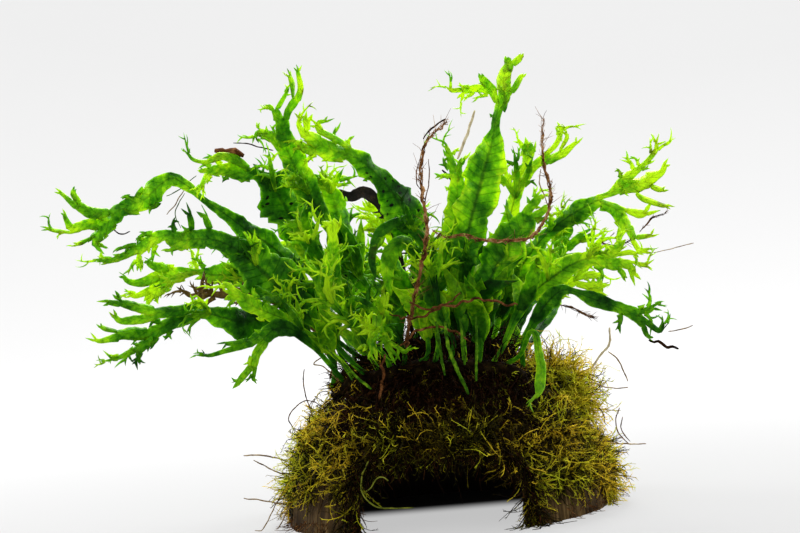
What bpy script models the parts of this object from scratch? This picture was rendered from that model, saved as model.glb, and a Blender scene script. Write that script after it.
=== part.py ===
"""Lace java fern and java moss grown on half a coconut, open side down, with a cave mouth in front.

Sizes are millimetres, turned into metres where the meshes are made. The middle of the coconut's rim is the
working origin, the cave mouth looks along -Y, and the whole piece is moved at the end so that its footprint
is centred on the world's origin.
"""
import math

import bmesh
import bpy
from mathutils import Matrix, Vector, noise

MM = 0.001

# The half coconut.
SHELL_RADIUS = 64.4
SHELL_HEIGHT = 61.0
SHELL_WALL = 6.0
SHELL_SIDES = 32
SHELL_RINGS = 8
GAP = 0.3

# The cave mouth: an arch cut straight in from the front, a little left of the middle.
MOUTH_MIDDLE = -4.2
MOUTH_WIDTH = 61.6
MOUTH_HEIGHT = 32.0
JAMB_HEIGHT = 14.0
MOUTH_DEPTH = (-75.0, -28.0)
ARCH_STEPS = 12

# The mat of fern roots on the crown, and the creeping stems that lie on it.
MAT_RINGS = 4
MAT_THICKNESS = 2.4
RHIZOME_RADIUS = 3.4
RHIZOME_SIDES_RESOLUTION = 1
RHIZOME_END = 2.0
RHIZOMES = {
    "front": ((-37, -15), (-27, -22), (-15, -27), (0, -30), (14, -29), (28, -24)),
    "middle": ((-38, 4), (-27, -1), (-16, -4), (-5, -6), (6, -6), (17, -4), (27, 0)),
    "back": ((-31, 23), (-20, 27), (-7, 30), (7, 30), (20, 27), (31, 22)),
}

# How the piece was looked at when its places were read: the view's tilt down, its roll, its distance, and
# where its middle is. A place is how far across and how far up it shows from the middle of the rim, with how
# far back it is, in millimetres at the distance of the rim.
VIEW_TILT = math.radians(1.33)
VIEW_ROLL = math.radians(4.8)
VIEW_DISTANCE = 850.0
VIEW_MIDDLE = (-20.4, 98.0)

# The fronds.
PETIOLE_WIDTH = 2.0
PETIOLE_THICKNESS = 1.7
BLADE_THICKNESS = 1.1
TIP_THICKNESS = 0.7
# A step longer than this gets a place halfway, and the two limbs of a fork part by this much front to back.
LONG_STEP = 8.0
FORK_SPREAD = 0.16


def limb(points, *forks):
    """A stretch of frond: (across, up, width) places, then the two limbs that it forks into."""
    return points, forks


def frond(rhizome, place, reach, lean, *stretch):
    """Where a frond starts along its rhizome, how far back its tips are, its blade's lean, and its stretches."""
    return rhizome, place, reach, lean, limb(*stretch)


FRONDS = {
    "low_left_frond": frond(
        "front", 0.0, -34, 18,
        [(-47, 60, 2), (-57, 71, 3), (-66, 76, 6), (-75, 77, 10), (-83, 75.8, 12.5), (-91, 77.5, 9.5),
         (-98, 79.5, 5), (-103, 79.8, 6)],
        limb([(-110, 80.3, 3.6), (-118, 79.5, 3.6)],
             limb([(-126, 82, 3), (-132, 83.5, 2.2)],
                  limb([(-142, 84, 0)]),
                  limb([(-134.5, 88.5, 0)])),
             limb([(-125, 77, 3), (-132, 76.3, 2), (-137, 80, 0)])),
        limb([(-110, 76.3, 4), (-116, 73.5, 4.4), (-120.5, 71, 3.6)],
             limb([(-127, 71.5, 4), (-133, 70.7, 3)],
                  limb([(-138, 73, 1.6), (-142, 75, 0)]),
                  limb([(-140, 68.3, 1.6), (-146.5, 69.5, 0)])),
             limb([(-123, 67, 3.2), (-126, 64, 3)],
                  limb([(-132, 62, 1.6), (-141, 59.8, 0)]),
                  limb([(-125, 61, 1.4), (-124.5, 58.5, 0)])))),
    "hanging_lace_frond": frond(
        "front", 0.075, -60, 15,
        [(-47, 57, 1.8), (-55, 66, 2.4), (-63, 72.5, 5), (-70, 73, 7), (-75, 69, 6)],
        limb([(-80, 67.5, 3)],
             limb([(-87, 67.2, 1.6), (-94, 67, 0)]),
             limb([(-88, 64.8, 1.8), (-96, 62.5, 1.2), (-103, 62.6, 0)])),
        limb([(-77.5, 63, 3), (-79, 58, 2.4)],
             limb([(-83, 54, 2.2), (-87.5, 49, 0)]),
             limb([(-79, 53.5, 1.4), (-77.5, 51, 0)]))),
    "short_bright_frond": frond(
        "front", 0.15, -42, 10,
        [(-44, 60, 1.8), (-56, 70, 2.2), (-66, 76.5, 4), (-73, 79.5, 7), (-80, 82.5, 6), (-85, 86, 4)],
        limb([(-92, 92, 0)]),
        limb([(-91, 84.5, 0)])),
    "broad_left_frond": frond(
        "front", 0.225, -22, 22,
        [(-40, 60, 2), (-53, 74, 4), (-63, 84, 13), (-72.5, 93, 18), (-82, 102, 13), (-90, 107, 8), (-97, 109, 6.5)],
        limb([(-97.5, 115.5, 2.2), (-100, 123, 0)]),
        limb([(-104, 109, 6)],
             limb([(-104, 116, 2), (-106, 124, 0)]),
             limb([(-109, 108.7, 6), (-114, 110.3, 3.6), (-120, 108, 4.5), (-125, 104.5, 3.6)],
                  limb([(-130, 102.5, 2.4), (-137, 100, 1.6), (-143.5, 101, 0)]),
                  limb([(-125, 99.5, 2.2), (-124, 95.5, 0)])))),
    "bright_strip_frond": frond(
        "front", 0.3, -36, 8,
        [(-31, 60, 1.8), (-40, 75, 2.4), (-45, 88, 4), (-46.8, 100, 5), (-47.3, 111, 4)],
        limb([(-49.5, 119, 0)]),
        limb([(-44, 119, 0)])),
    "front_left_lace_frond": frond(
        "front", 0.37, -48, 15,
        [(-27, 63, 1.8), (-38, 74, 2.2), (-47, 83, 3), (-51.5, 89, 4)],
        limb([(-54, 95, 2), (-57, 101, 0)]),
        limb([(-50, 97, 2.4), (-50, 104, 0)])),
    "front_hanging_frond": frond(
        "front", 0.44, -56, 14,
        [(-18.8, 64, 1.8), (-24, 74, 2.4), (-29, 79.5, 4), (-30, 73, 4.5)],
        limb([(-32, 67, 3)],
             limb([(-38, 64.5, 0)]),
             limb([(-29.5, 60, 0)])),
        limb([(-25.5, 67.5, 2.6)],
             limb([(-22, 58.5, 0)]),
             limb([(-19, 64, 1.4), (-14, 66, 0)]))),
    "yellow_drooping_frond": frond(
        "front", 0.51, -34, 20,
        [(-9, 64, 1.8), (-11, 84, 2.4), (-13, 101, 4.4), (-18.5, 107.5, 5.5), (-24, 104, 6), (-25.7, 97, 6),
         (-25, 91, 3), (-24, 86, 0)]),
    "pale_centre_frond": frond(
        "front", 0.58, -16, 22,
        [(-5, 67, 1.8), (-6, 75, 2), (-6, 84, 3), (-3.5, 97, 6), (0, 108, 8), (2, 119, 8.5), (2.5, 133, 5)],
        limb([(0.5, 139, 3), (-1, 144, 1.8), (-3.3, 148.8, 0)]),
        limb([(3.2, 137, 2.4), (4.5, 142, 0)])),
    "tall_centre_frond": frond(
        "front", 0.72, -24, -24,
        [(5, 66, 2), (4.5, 73, 2.2), (4, 84, 3.4), (4, 95, 8), (6.5, 110, 13), (10, 124, 15), (13.5, 137, 15),
         (16, 146, 11), (17.3, 152, 4), (18, 157.5, 3.2), (19.5, 163, 4)],
        limb([(16.5, 167.8, 2.8)],
             limb([(13, 172.5, 2.4), (11, 175.5, 0)]),
             limb([(11, 169.3, 2.4), (5, 168, 2)],
                  limb([(0.5, 168.3, 1.4), (-2.3, 170.3, 0)]),
                  limb([(3.5, 163, 0)]))),
        limb([(21.3, 168, 4.4)],
             limb([(21.3, 174.5, 4), (23, 179, 3)],
                  limb([(21.8, 182.3, 0)]),
                  limb([(26.8, 181, 2.2), (29, 183.5, 0)])),
             limb([(25.7, 170, 2), (28, 174, 1.6), (30.3, 175.3, 0)]))),
    "drooping_arch_frond": frond(
        "front", 0.65, -46, 12,
        [(1, 68, 1.8), (-4, 78, 2), (-6.5, 91, 2.6), (-9, 103, 3.4), (-13.5, 111, 4.2),
         (-20, 115.2, 4.4), (-26, 113.6, 4.2), (-30, 108.5, 3.6), (-31.5, 101, 3), (-30, 92, 0)]),
    "right_leaning_frond": frond(
        "front", 0.79, -34, -24,
        [(12, 66, 2), (12, 77, 4), (15, 91, 11), (21, 102.5, 14), (27, 112, 12), (31, 118, 7)],
        limb([(34, 124, 2.6), (37, 129.5, 0)]),
        limb([(36, 119.5, 2.6), (39.5, 123, 0)])),
    "second_right_frond": frond(
        "front", 0.86, -18, -16,
        [(21, 66, 2), (27, 80, 4), (33.5, 88, 7), (40.5, 93.5, 8.5), (48, 98.5, 8), (55.5, 101.3, 6), (61, 101.3, 7)],
        limb([(66, 104, 3.4)],
             limb([(70, 109, 0)]),
             limb([(71, 103.6, 1.8), (77.5, 102.5, 0)])),
        limb([(66.5, 98.8, 4)],
             limb([(72, 98.3, 3)],
                  limb([(77, 98.6, 1.6), (81.5, 101, 0)]),
                  limb([(73.7, 90, 0)])),
             limb([(68.5, 95.5, 2), (70, 91.8, 0)]))),
    "drooping_right_frond": frond(
        "front", 1.0, -50, -16,
        [(29, 67, 2), (34, 77, 4), (39, 84, 7), (44, 88.2, 4.5), (49, 88, 2.4), (54, 86, 4.4), (59.5, 84, 6),
         (65, 82.2, 4.4), (70.5, 80, 4.6), (74.5, 78, 5)],
        limb([(79, 80.5, 2.2), (84.5, 83.8, 0)]),
        limb([(77.5, 74.8, 3.4)],
             limb([(83, 72.2, 1.6), (87.3, 75.8, 0)]),
             limb([(78, 71, 1.6), (81, 68, 0)]))),
    "small_drooping_frond": frond(
        "front", 0.93, -58, -10,
        [(28, 63, 1.6), (31.5, 71.5, 2), (34, 70.5, 2.6), (35, 64, 3), (36, 56.5, 4), (35.5, 50.5, 4), (34.3, 45, 0)]),
    "dead_left_frond": frond(
        "middle", 0.0, -4, 10,
        [(-47, 64, 1.6), (-60, 77, 1.8), (-73, 84.5, 2), (-84, 87, 3), (-92, 86.5, 3), (-99, 87.3, 2)],
        limb([(-104, 86.3, 1.4), (-110, 90, 0)]),
        limb([(-101, 82, 0)])),
    "far_left_frond": frond(
        "middle", 0.085, 30, 20,
        [(-50, 76, 2), (-60, 93, 5), (-70, 104.5, 9), (-81, 112, 8.5), (-91, 119.3, 5), (-100, 125.5, 2.6),
         (-106, 130.5, 4.5), (-112, 133.2, 6), (-118, 129, 9), (-122.5, 124.7, 8), (-129, 122.3, 7), (-136, 118.3, 7)],
        limb([(-144, 119.5, 3.6), (-149, 122.5, 3.2)],
             limb([(-151, 127, 2), (-150.5, 130.3, 0)]),
             limb([(-154, 125.7, 1.6), (-158.5, 129.5, 0)])),
        limb([(-140.5, 113.3, 6)],
             limb([(-146.5, 114.8, 3.6), (-152, 113, 3)],
                  limb([(-158, 112.3, 1.4), (-164.5, 114, 0)]),
                  limb([(-154, 117, 1.6), (-155.5, 121.3, 0)])),
             limb([(-143, 108.3, 3.4)],
                  limb([(-148, 107.5, 1.6), (-152.5, 106, 0)]),
                  limb([(-138.5, 102.8, 0)])))),
    "lacy_left_frond": frond(
        "middle", 0.17, 10, 18,
        [(-45, 68, 2), (-58, 80, 3), (-69, 87, 6), (-80, 92, 8), (-88, 94.5, 8), (-95, 94.5, 7.5), (-101, 95.7, 2.2),
         (-107, 95.3, 5), (-112, 94, 7)],
        limb([(-116, 97.3, 3.2), (-120, 98.8, 2.2), (-122.8, 101.8, 0)]),
        limb([(-116, 91.8, 6)],
             limb([(-124, 91.5, 3), (-129, 92, 1.8), (-133, 95.8, 0)]),
             limb([(-120, 87.3, 4)],
                  limb([(-125.5, 86.3, 2), (-131, 87, 0)]),
                  limb([(-122, 82, 0)])))),
    "narrow_upper_left_frond": frond(
        "middle", 0.25, 4, 24,
        [(-35, 68, 2), (-45, 85, 3), (-54, 100, 8), (-61, 112.5, 14), (-67, 123, 17), (-72, 130, 12), (-77, 134.3, 4.6),
         (-81, 135.2, 5)],
        limb([(-86, 140.3, 3), (-92, 142, 3), (-98, 139.8, 1.6), (-103, 140.7, 1.2), (-107.5, 145.5, 0)]),
        limb([(-87, 136, 5.4), (-93, 136.6, 4), (-97.5, 136, 2.6)],
             limb([(-101.5, 136.5, 0)]),
             limb([(-99.5, 131, 1.6), (-102, 126, 0)]))),
    "upper_left_lace_frond": frond(
        "middle", 0.32, -26, 12,
        [(-24, 71, 2), (-40, 82, 3), (-51, 98, 5), (-58, 109, 6)],
        limb([(-62, 114.5, 3), (-67.5, 116, 0)]),
        limb([(-58.5, 117, 2.6), (-57.5, 124, 0)])),
    "top_left_frond": frond(
        "middle", 0.39, -14, 20,
        [(-22, 76, 2), (-33, 89, 2.4), (-43, 105, 3.4), (-52, 119, 6), (-58.5, 129.5, 10), (-62.7, 138, 11), (-66, 145.5, 8)],
        limb([(-72, 150, 2.6), (-77, 152.3, 1.8)],
             limb([(-77.7, 156, 0)]),
             limb([(-79.5, 147, 0)])),
        limb([(-67.3, 151.5, 5), (-67.6, 156.5, 4.4)],
             limb([(-70.5, 160.5, 2.4)],
                  limb([(-74.8, 162.7, 0)]),
                  limb([(-67, 165.5, 1.4), (-64.6, 169.8, 0)])),
             limb([(-65.3, 160, 2.4), (-62.3, 164.7, 2.6)],
                  limb([(-63.6, 171, 1.8), (-65.7, 177.5, 0)]),
                  limb([(-60.2, 169, 2), (-61, 174, 1.6), (-62, 179, 0)])))),
    "left_centre_frond": frond(
        "middle", 0.46, 2, 22,
        [(-12, 77, 2), (-25, 87, 3.4), (-40, 95, 8), (-44, 107, 10), (-45.3, 117.5, 10), (-47.5, 126, 8), (-51, 131, 5)],
        limb([(-58, 134.3, 0)]),
        limb([(-52, 136.5, 0)])),
    "arching_frond": frond(
        "middle", 0.54, -16, 26,
        [(-6, 73, 2.4), (-8, 89, 5), (-12, 106, 11), (-18, 119, 16), (-24, 128, 11), (-29, 134, 9), (-35, 139.5, 8),
         (-41, 143, 6.5)],
        limb([(-46, 149, 2.2), (-51.5, 152, 2)],
             limb([(-53, 155.3, 1.4), (-46.5, 157.3, 0)]),
             limb([(-56.5, 157.5, 0)])),
        limb([(-47, 144.3, 6), (-53, 146.7, 5.5)],
             limb([(-57.5, 151, 3)],
                  limb([(-57.7, 160.5, 0)]),
                  limb([(-60.7, 154.5, 1.6), (-60.3, 160.3, 0)])),
             limb([(-59, 145.7, 2.4), (-62.5, 149, 0)]))),
    "lacy_centre_frond": frond(
        "middle", 0.74, 4, -18,
        [(10, 72, 2.2), (14, 90, 4), (19, 104, 6), (23, 116, 6.5), (25.5, 125, 5.5), (27.5, 132, 5)],
        limb([(30, 138, 3.8), (31.2, 144, 3.4)],
             limb([(26, 150, 0)]),
             limb([(34, 148.5, 0)])),
        limb([(33, 138, 3.2), (38, 141, 3.4)],
             limb([(42, 147, 1.8), (44, 152.5, 1.4), (42.3, 156, 0)]),
             limb([(44, 143, 3)],
                  limb([(46.3, 149.5, 1.4), (45.3, 154, 0)]),
                  limb([(48.5, 146.5, 1.6), (53, 149.8, 0)])))),
    "long_right_frond": frond(
        "middle", 0.87, 0, -22,
        [(18, 73, 2.2), (20, 82, 4), (25, 93, 10), (31, 102, 10.5), (37, 109.5, 4.5), (43, 115, 5), (50, 119.8, 7.5),
         (55.5, 122.8, 6.5), (59, 124.5, 5.4)],
        limb([(63.5, 127.2, 2), (67.5, 130, 4.6)],
             limb([(72, 135, 3), (77, 138.7, 1.8), (81.5, 144, 1.6), (83.3, 151.5, 0)]),
             limb([(73, 130.3, 4.6)],
                  limb([(79, 132.3, 4.6)],
                       limb([(84, 135.7, 2.2), (87, 141.5, 0)]),
                       limb([(83, 129, 2), (87.3, 128.6, 0)])),
                  limb([(77, 125.2, 2.2), (84, 122.7, 1.6), (89.8, 121.8, 0)]))),
        limb([(64.5, 121.6, 3.4), (68.5, 118.8, 6)],
             limb([(75, 119.3, 3), (84, 120.6, 0)]),
             limb([(70, 113.8, 4.4)],
                  limb([(73.3, 109.3, 2.8)],
                       limb([(78, 110.2, 1.6), (83.5, 111, 0)]),
                       limb([(75.3, 104.8, 1.8), (80.8, 103.4, 0)])),
                  limb([(67.3, 109.5, 2), (66.3, 104, 0)])))),
    "far_back_left_frond": frond(
        "back", 0.0, 92, 20,
        [(-39, 64, 2), (-47, 76, 4), (-57, 86, 9), (-65, 92, 9), (-71, 95, 5)],
        limb([(-76, 101, 0)]),
        limb([(-77, 94, 0)])),
    "back_left_frond": frond(
        "back", 0.1, 70, 20,
        [(-31, 68, 2), (-40, 84, 4), (-50, 97, 9), (-58, 104, 8), (-65, 107, 4)],
        limb([(-70, 106, 0)]),
        limb([(-67, 102, 0)])),
    "light_lace_frond": frond(
        "back", 0.22, 26, 10,
        [(-25, 72, 2), (-22, 92, 3), (-23, 106, 4), (-26, 115, 5)],
        limb([(-31, 121, 2.8)],
             limb([(-35, 125.3, 0)]),
             limb([(-38.5, 122, 0)])),
        limb([(-31, 115.7, 2.8)],
             limb([(-35, 117.8, 1.8), (-39, 117.5, 0)]),
             limb([(-36.5, 110.5, 0)]))),
    "tall_back_left_frond": frond(
        "back", 0.33, 52, 22,
        [(-27, 72, 2.4), (-34, 90, 5), (-41, 105, 10), (-46, 116, 8), (-49, 122, 4)],
        limb([(-53, 126, 0)]),
        limb([(-47, 128, 0)])),
    "black_dead_frond": frond(
        "back", 0.42, 14, 14,
        [(-16, 74, 1.8), (-19, 96, 2), (-24, 114, 2.6), (-30, 124.5, 4), (-35, 127.5, 5.5), (-40, 125.7, 4), (-46, 127, 3.6),
         (-53.5, 127, 0)]),
    "back_centre_left_frond": frond(
        "back", 0.5, 60, 20,
        [(-8, 74, 2.4), (-11, 92, 6), (-13, 106, 10), (-15, 114, 6)],
        limb([(-18, 121, 0)]),
        limb([(-12, 122, 0)])),
    "back_centre_frond": frond(
        "back", 0.585, 84, 20,
        [(3, 72, 2.4), (4, 88, 5), (6, 101, 10), (8, 110, 8), (9, 116, 4)],
        limb([(6, 122, 0)]),
        limb([(12, 122, 0)])),
    "back_centre_right_frond": frond(
        "back", 0.67, 70, -20,
        [(12, 70, 2.4), (15, 86, 5), (19, 97, 10), (22, 105, 8), (25, 111, 4)],
        limb([(24, 117, 0)]),
        limb([(30, 115, 0)])),
    "upper_right_lace_frond": frond(
        "back", 0.76, 26, -12,
        [(22, 74, 2), (31, 88, 3), (39, 99, 4), (45, 106, 5)],
        limb([(47, 112, 2.8), (48, 118, 0)]),
        limb([(50.5, 109, 3)],
             limb([(57, 113.5, 0)]),
             limb([(59, 109.3, 0)]))),
    "back_right_frond": frond(
        "back", 0.84, 74, -22,
        [(24, 66, 2.2), (28, 79, 5), (32, 89, 9), (35, 97, 7), (36, 103, 4)],
        limb([(35, 108, 0)]),
        limb([(40, 106, 0)])),
    "bright_right_lace_frond": frond(
        "back", 0.92, 38, -10,
        [(29, 70, 1.8), (36, 81.5, 2.4), (43, 88.7, 3.6), (49, 92, 4.6)],
        limb([(55.5, 94.6, 2.6), (62.5, 94, 0)]),
        limb([(55, 90, 3)],
             limb([(64, 91, 0)]),
             limb([(63, 86.3, 0)]))),
    "low_back_left_frond": frond(
        "back", 0.165, 98, 15,
        [(-28, 70, 2), (-31, 80, 4), (-35, 88, 8), (-38, 93, 7), (-41, 96, 4)],
        limb([(-46, 97, 0)]),
        limb([(-40, 101, 0)])),
    "low_back_centre_frond": frond(
        "back", 0.545, 104, 12,
        [(1, 72, 2), (0, 81, 4), (-2, 88, 9), (-3.5, 94, 9), (-4.5, 99, 5)],
        limb([(-8, 104, 0)]),
        limb([(-1, 105, 0)])),
    "wide_back_right_frond": frond(
        "back", 0.8, 98, -15,
        [(21, 70, 2), (25, 78, 4), (28.5, 84, 8), (31, 89, 7), (32.5, 92.5, 4)],
        limb([(30.5, 97.5, 0)]),
        limb([(37, 95, 0)])),
    "low_back_right_frond": frond(
        "back", 1.0, 66, -20,
        [(31, 66, 2), (36, 74, 4), (40, 82, 8), (43, 88, 5)],
        limb([(45, 94, 0)]),
        limb([(48, 90, 0)])),
}

# Loose roots and dry scraps: (across, up, back) places, and the radius.
ROOTS = {
    "standing_root": (
        1.1,
        [(-17, 57, -22), (-17.5, 70, -36), (-15, 83, -48), (-12, 97, -54), (-9.5, 112, -56), (-11.3, 126, -56),
         (-12, 138, -56), (-10, 147.5, -56), (-5.5, 152.5, -55), (-1.5, 156, -54)]),
    "hoop_root": (
        1.0,
        [(-7.3, 112.5, -56), (-2, 109.6, -56), (5, 110.6, -56), (12, 108.6, -56), (24, 108.3, -56), (32, 109.7, -55),
         (36.5, 115, -53), (39.5, 122, -51), (39.6, 130, -49), (37.3, 138, -47), (36.5, 148, -46), (36.8, 157, -45)]),
    "right_crossing_root": (
        0.7,
        [(65.3, 111.5, -9), (62.5, 108.8, -9), (60, 107.2, -9), (66, 106.4, -9.5), (72, 108.4, -10)]),
    "right_side_root": (0.6, [(75.5, 112, -8), (78, 114.5, -8.5), (80.5, 117.3, -9), (85.3, 119.2, -9)]),
    "dry_stick": (0.7, [(43, 82.9, -24), (47, 81.9, -25), (53, 79.2, -27), (58.5, 77.2, -29)]),
}

# The moss clumps on the flanks: from which to which side of the shell in 32nds of a turn from the front,
# counted to the right; the first and last ring from the crown in 8ths; the least and most thickness.
MOSS = {
    "moss_over_mouth": (-3, 2, 4.25, 5.05, 1.0, 18.0),
    "moss_front_left": (-7, -3.1, 4.25, 6.8, 1.0, 4.0),
    "moss_left": (-11, -7, 4.25, 7.5, 1.0, 3.6),
    "moss_back_left": (-15, -11, 4.25, 7.3, 1.2, 6.0),
    "moss_back": (-19, -15, 4.25, 7.1, 1.2, 5.5),
    "moss_back_right": (11, 13, 4.25, 7.3, 1.2, 5.5),
    "moss_front_right": (2.4, 6, 4.25, 7.0, 1.2, 5.0),
    "moss_right": (6, 11, 5.6, 7.7, 1.4, 6.0),
    "moss_shoulder": (6, 10.3, 2.7, 5.3, 3.0, 14.5),
}
# How far a clump that hangs over leans down from the husk's normal, as a share of that normal.
MOSS_SAG = {"moss_over_mouth": 0.55}
MOSS_STEP = 0.5
MOSS_INSET = 0.06

# The fronds that aren't plain green.
BRIGHT_FRONDS = {
    "short_bright_frond",
    "bright_strip_frond",
    "yellow_drooping_frond",
    "light_lace_frond",
    "bright_right_lace_frond",
}
DEAD_FRONDS = {"dead_left_frond", "black_dead_frond"}


def principled(name, colour, roughness):
    material = bpy.data.materials.new(name)
    material.use_nodes = True
    shader = material.node_tree.nodes["Principled BSDF"]
    shader.inputs["Base Color"].default_value = (*colour, 1.0)
    shader.inputs["Roughness"].default_value = roughness
    material.diffuse_color = (*colour, 1.0)
    return material


def clear_scene():
    for thing in list(bpy.data.objects):
        bpy.data.objects.remove(thing, do_unlink=True)


def new_collection(name):
    collection = bpy.data.collections.new(name)
    bpy.context.scene.collection.children.link(collection)
    return collection


def add_object(name, data, collection, material=None):
    thing = bpy.data.objects.new(name, data)
    collection.objects.link(thing)
    if material:
        data.materials.append(material)
    return thing


def add_shape(name, shape, collection, material=None):
    """Makes an object of a closed shape that was built in millimetres, with its faces turned outward."""
    bmesh.ops.scale(shape, vec=(MM, MM, MM), verts=shape.verts)
    bmesh.ops.recalc_face_normals(shape, faces=shape.faces)
    mesh = bpy.data.meshes.new(name)
    shape.to_mesh(mesh)
    shape.free()
    return add_object(name, mesh, collection, material)


def dome_normal(place):
    return Vector((place[0] / SHELL_RADIUS**2, place[1] / SHELL_RADIUS**2, place[2] / SHELL_HEIGHT**2)).normalized()


def dome_point(turn, ring, lift=0.0):
    """A place over the husk's outside: turn in 32nds from the front to the right, ring in 8ths from the crown."""
    angle = math.radians(-90.0) + math.tau * turn / SHELL_SIDES
    slope = math.radians(90.0) * ring / SHELL_RINGS
    out = SHELL_RADIUS * math.sin(slope)
    place = Vector((out * math.cos(angle), out * math.sin(angle), SHELL_HEIGHT * math.cos(slope)))
    return place + dome_normal(place) * lift


def crown_point(x, y):
    """The place on the husk's outside over a place on the ground."""
    spread = (x * x + y * y) / (SHELL_RADIUS * SHELL_RADIUS)
    return Vector((x, y, SHELL_HEIGHT * math.sqrt(1.0 - spread)))


def turned(name, profile, collection, material):
    """A turned solid: (radius, height) points down the outside and back up the inside, spun about Z."""
    mesh = bpy.data.meshes.new(name)
    edges = [(i, i + 1) for i in range(len(profile) - 1)]
    mesh.from_pydata([(radius * MM, 0.0, height * MM) for radius, height in profile], edges, [])
    thing = add_object(name, mesh, collection, material)
    spin = thing.modifiers.new("Turn", "SCREW")
    spin.steps = spin.render_steps = SHELL_SIDES
    spin.use_merge_vertices = True
    spin.merge_threshold = 0.00001
    spin.use_smooth_shade = True
    return thing


def dome_profile(radius, height, first_ring, last_ring):
    rings = range(first_ring, last_ring + 1)
    slopes = [math.radians(90.0) * ring / SHELL_RINGS for ring in rings]
    return [(radius * math.sin(slope), height * math.cos(slope)) for slope in slopes]


def coconut_shell(parts, cutters, husk):
    outside = dome_profile(SHELL_RADIUS, SHELL_HEIGHT, 0, SHELL_RINGS)
    inside = dome_profile(SHELL_RADIUS - SHELL_WALL, SHELL_HEIGHT - SHELL_WALL, 0, SHELL_RINGS)
    shell = turned("coconut_shell", outside + inside[::-1], parts, husk)
    cut = shell.modifiers.new("Cave mouth", "BOOLEAN")
    cut.operation = "DIFFERENCE"
    cut.solver = "EXACT"
    cut.object = mouth_cutter(cutters)
    return shell


def mouth_cutter(cutters):
    """The arch: straight jambs with a half ellipse over them, from below the rim, drawn out along Y."""
    half = MOUTH_WIDTH / 2
    front, back = MOUTH_DEPTH
    outline = [(MOUTH_MIDDLE + half, -5.0)]
    for step in range(ARCH_STEPS + 1):
        angle = math.pi * step / ARCH_STEPS
        height = JAMB_HEIGHT + (MOUTH_HEIGHT - JAMB_HEIGHT) * math.sin(angle)
        outline.append((MOUTH_MIDDLE + half * math.cos(angle), height))
    outline.append((MOUTH_MIDDLE - half, -5.0))
    shape = bmesh.new()
    arch = shape.faces.new([shape.verts.new((x, front, z)) for x, z in outline])
    drawn = bmesh.ops.extrude_face_region(shape, geom=[arch])["geom"]
    moved = [part for part in drawn if isinstance(part, bmesh.types.BMVert)]
    bmesh.ops.translate(shape, vec=(0.0, back - front, 0.0), verts=moved)
    cutter = add_shape("mouth_cutter", shape, cutters)
    cutter.hide_render = True
    cutter.display_type = "WIRE"
    return cutter


def root_mat(parts, root_brown):
    """The mat follows the crown at an even gap and thins out to its edge."""
    lifts = [MAT_THICKNESS] * (MAT_RINGS - 1) + [MAT_THICKNESS * 0.9, MAT_THICKNESS * 0.35]
    outside = []
    inside = []
    for ring, lift in enumerate(lifts):
        over = dome_point(SHELL_SIDES / 4, ring, GAP + lift)
        under = dome_point(SHELL_SIDES / 4, ring, GAP)
        outside.append((over.x, over.z))
        inside.append((under.x, under.z))
    outside[0] = (0.0, outside[0][1])
    inside[0] = (0.0, inside[0][1])
    return turned("root_mat", outside + inside[::-1], parts, root_brown)


def along_rhizome(name, place):
    """The place on a rhizome's middle line, from 0 at its left end to 1 at its right end, and which way is out."""
    route = RHIZOMES[name]
    step = min(int(place * (len(route) - 1)), len(route) - 2)
    part = place * (len(route) - 1) - step
    x = route[step][0] + (route[step + 1][0] - route[step][0]) * part
    y = route[step][1] + (route[step + 1][1] - route[step][1]) * part
    crown = crown_point(x, y)
    outward = dome_normal(crown)
    return crown + outward * (GAP + MAT_THICKNESS + GAP + RHIZOME_RADIUS), outward


def rooty_tube(name, places, radius, resolution, parts, material, swell=0.0):
    """A tube with closed ends along places in millimetres, a little thicker and thinner along its way."""
    curve = bpy.data.curves.new(name, "CURVE")
    curve.dimensions = "3D"
    curve.bevel_depth = radius * MM
    curve.bevel_resolution = resolution
    curve.use_fill_caps = True
    spline = curve.splines.new("POLY")
    spline.points.add(len(places) - 1)
    for step, (point, place) in enumerate(zip(spline.points, places)):
        point.co = (*(Vector(place) * MM), 1.0)
        taper = 0.62 if step in (0, len(places) - 1) else 1.0
        point.radius = taper * (1.0 - swell * (step % 2))
    return add_object(name, curve, parts, material)


def rhizome(name, parts, material):
    """A creeping stem along the crown, with its two ends bent down a little to the sides."""
    count = 2 * len(RHIZOMES[name])
    places = [along_rhizome(name, step / (count - 1))[0] for step in range(count)]
    for end in (places[0], places[-1]):
        outward = Vector((end.x, end.y, 0.0)).normalized()
        end += outward * RHIZOME_END + Vector((0.0, 0.0, -RHIZOME_END))
    return rooty_tube(f"{name}_rhizome", places, RHIZOME_RADIUS, RHIZOME_SIDES_RESOLUTION, parts, material, 0.12)


def view_axes():
    ahead = Vector((0.0, math.cos(VIEW_TILT), -math.sin(VIEW_TILT)))
    steep = Vector((0.0, math.sin(VIEW_TILT), math.cos(VIEW_TILT)))
    level = Vector((1.0, 0.0, 0.0))
    right = level * math.cos(VIEW_ROLL) - steep * math.sin(VIEW_ROLL)
    upward = level * math.sin(VIEW_ROLL) + steep * math.cos(VIEW_ROLL)
    return right, upward, ahead


def sight(across, up):
    """The line of sight to what shows at (across, up), as long as the view's distance straight ahead."""
    return AHEAD * VIEW_DISTANCE + RIGHT * (across - VIEW_MIDDLE[0]) + UPWARD * (up - VIEW_MIDDLE[1])


RIGHT, UPWARD, AHEAD = view_axes()
EYE = -sight(0.0, 0.0)


def spot(across, up, back):
    """The place that shows at (across, up) and lies `back` behind the middle of the rim."""
    ray = sight(across, up)
    return EYE + ray * ((back - EYE.y) / ray.y)


def seen(place):
    """Where a place shows: (across, up)."""
    ray = place - EYE
    scale = VIEW_DISTANCE / ray.dot(AHEAD)
    return VIEW_MIDDLE[0] + ray.dot(RIGHT) * scale, VIEW_MIDDLE[1] + ray.dot(UPWARD) * scale


def flat_distance(first, second):
    return math.hypot(second[0] - first[0], second[1] - first[1])


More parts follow.
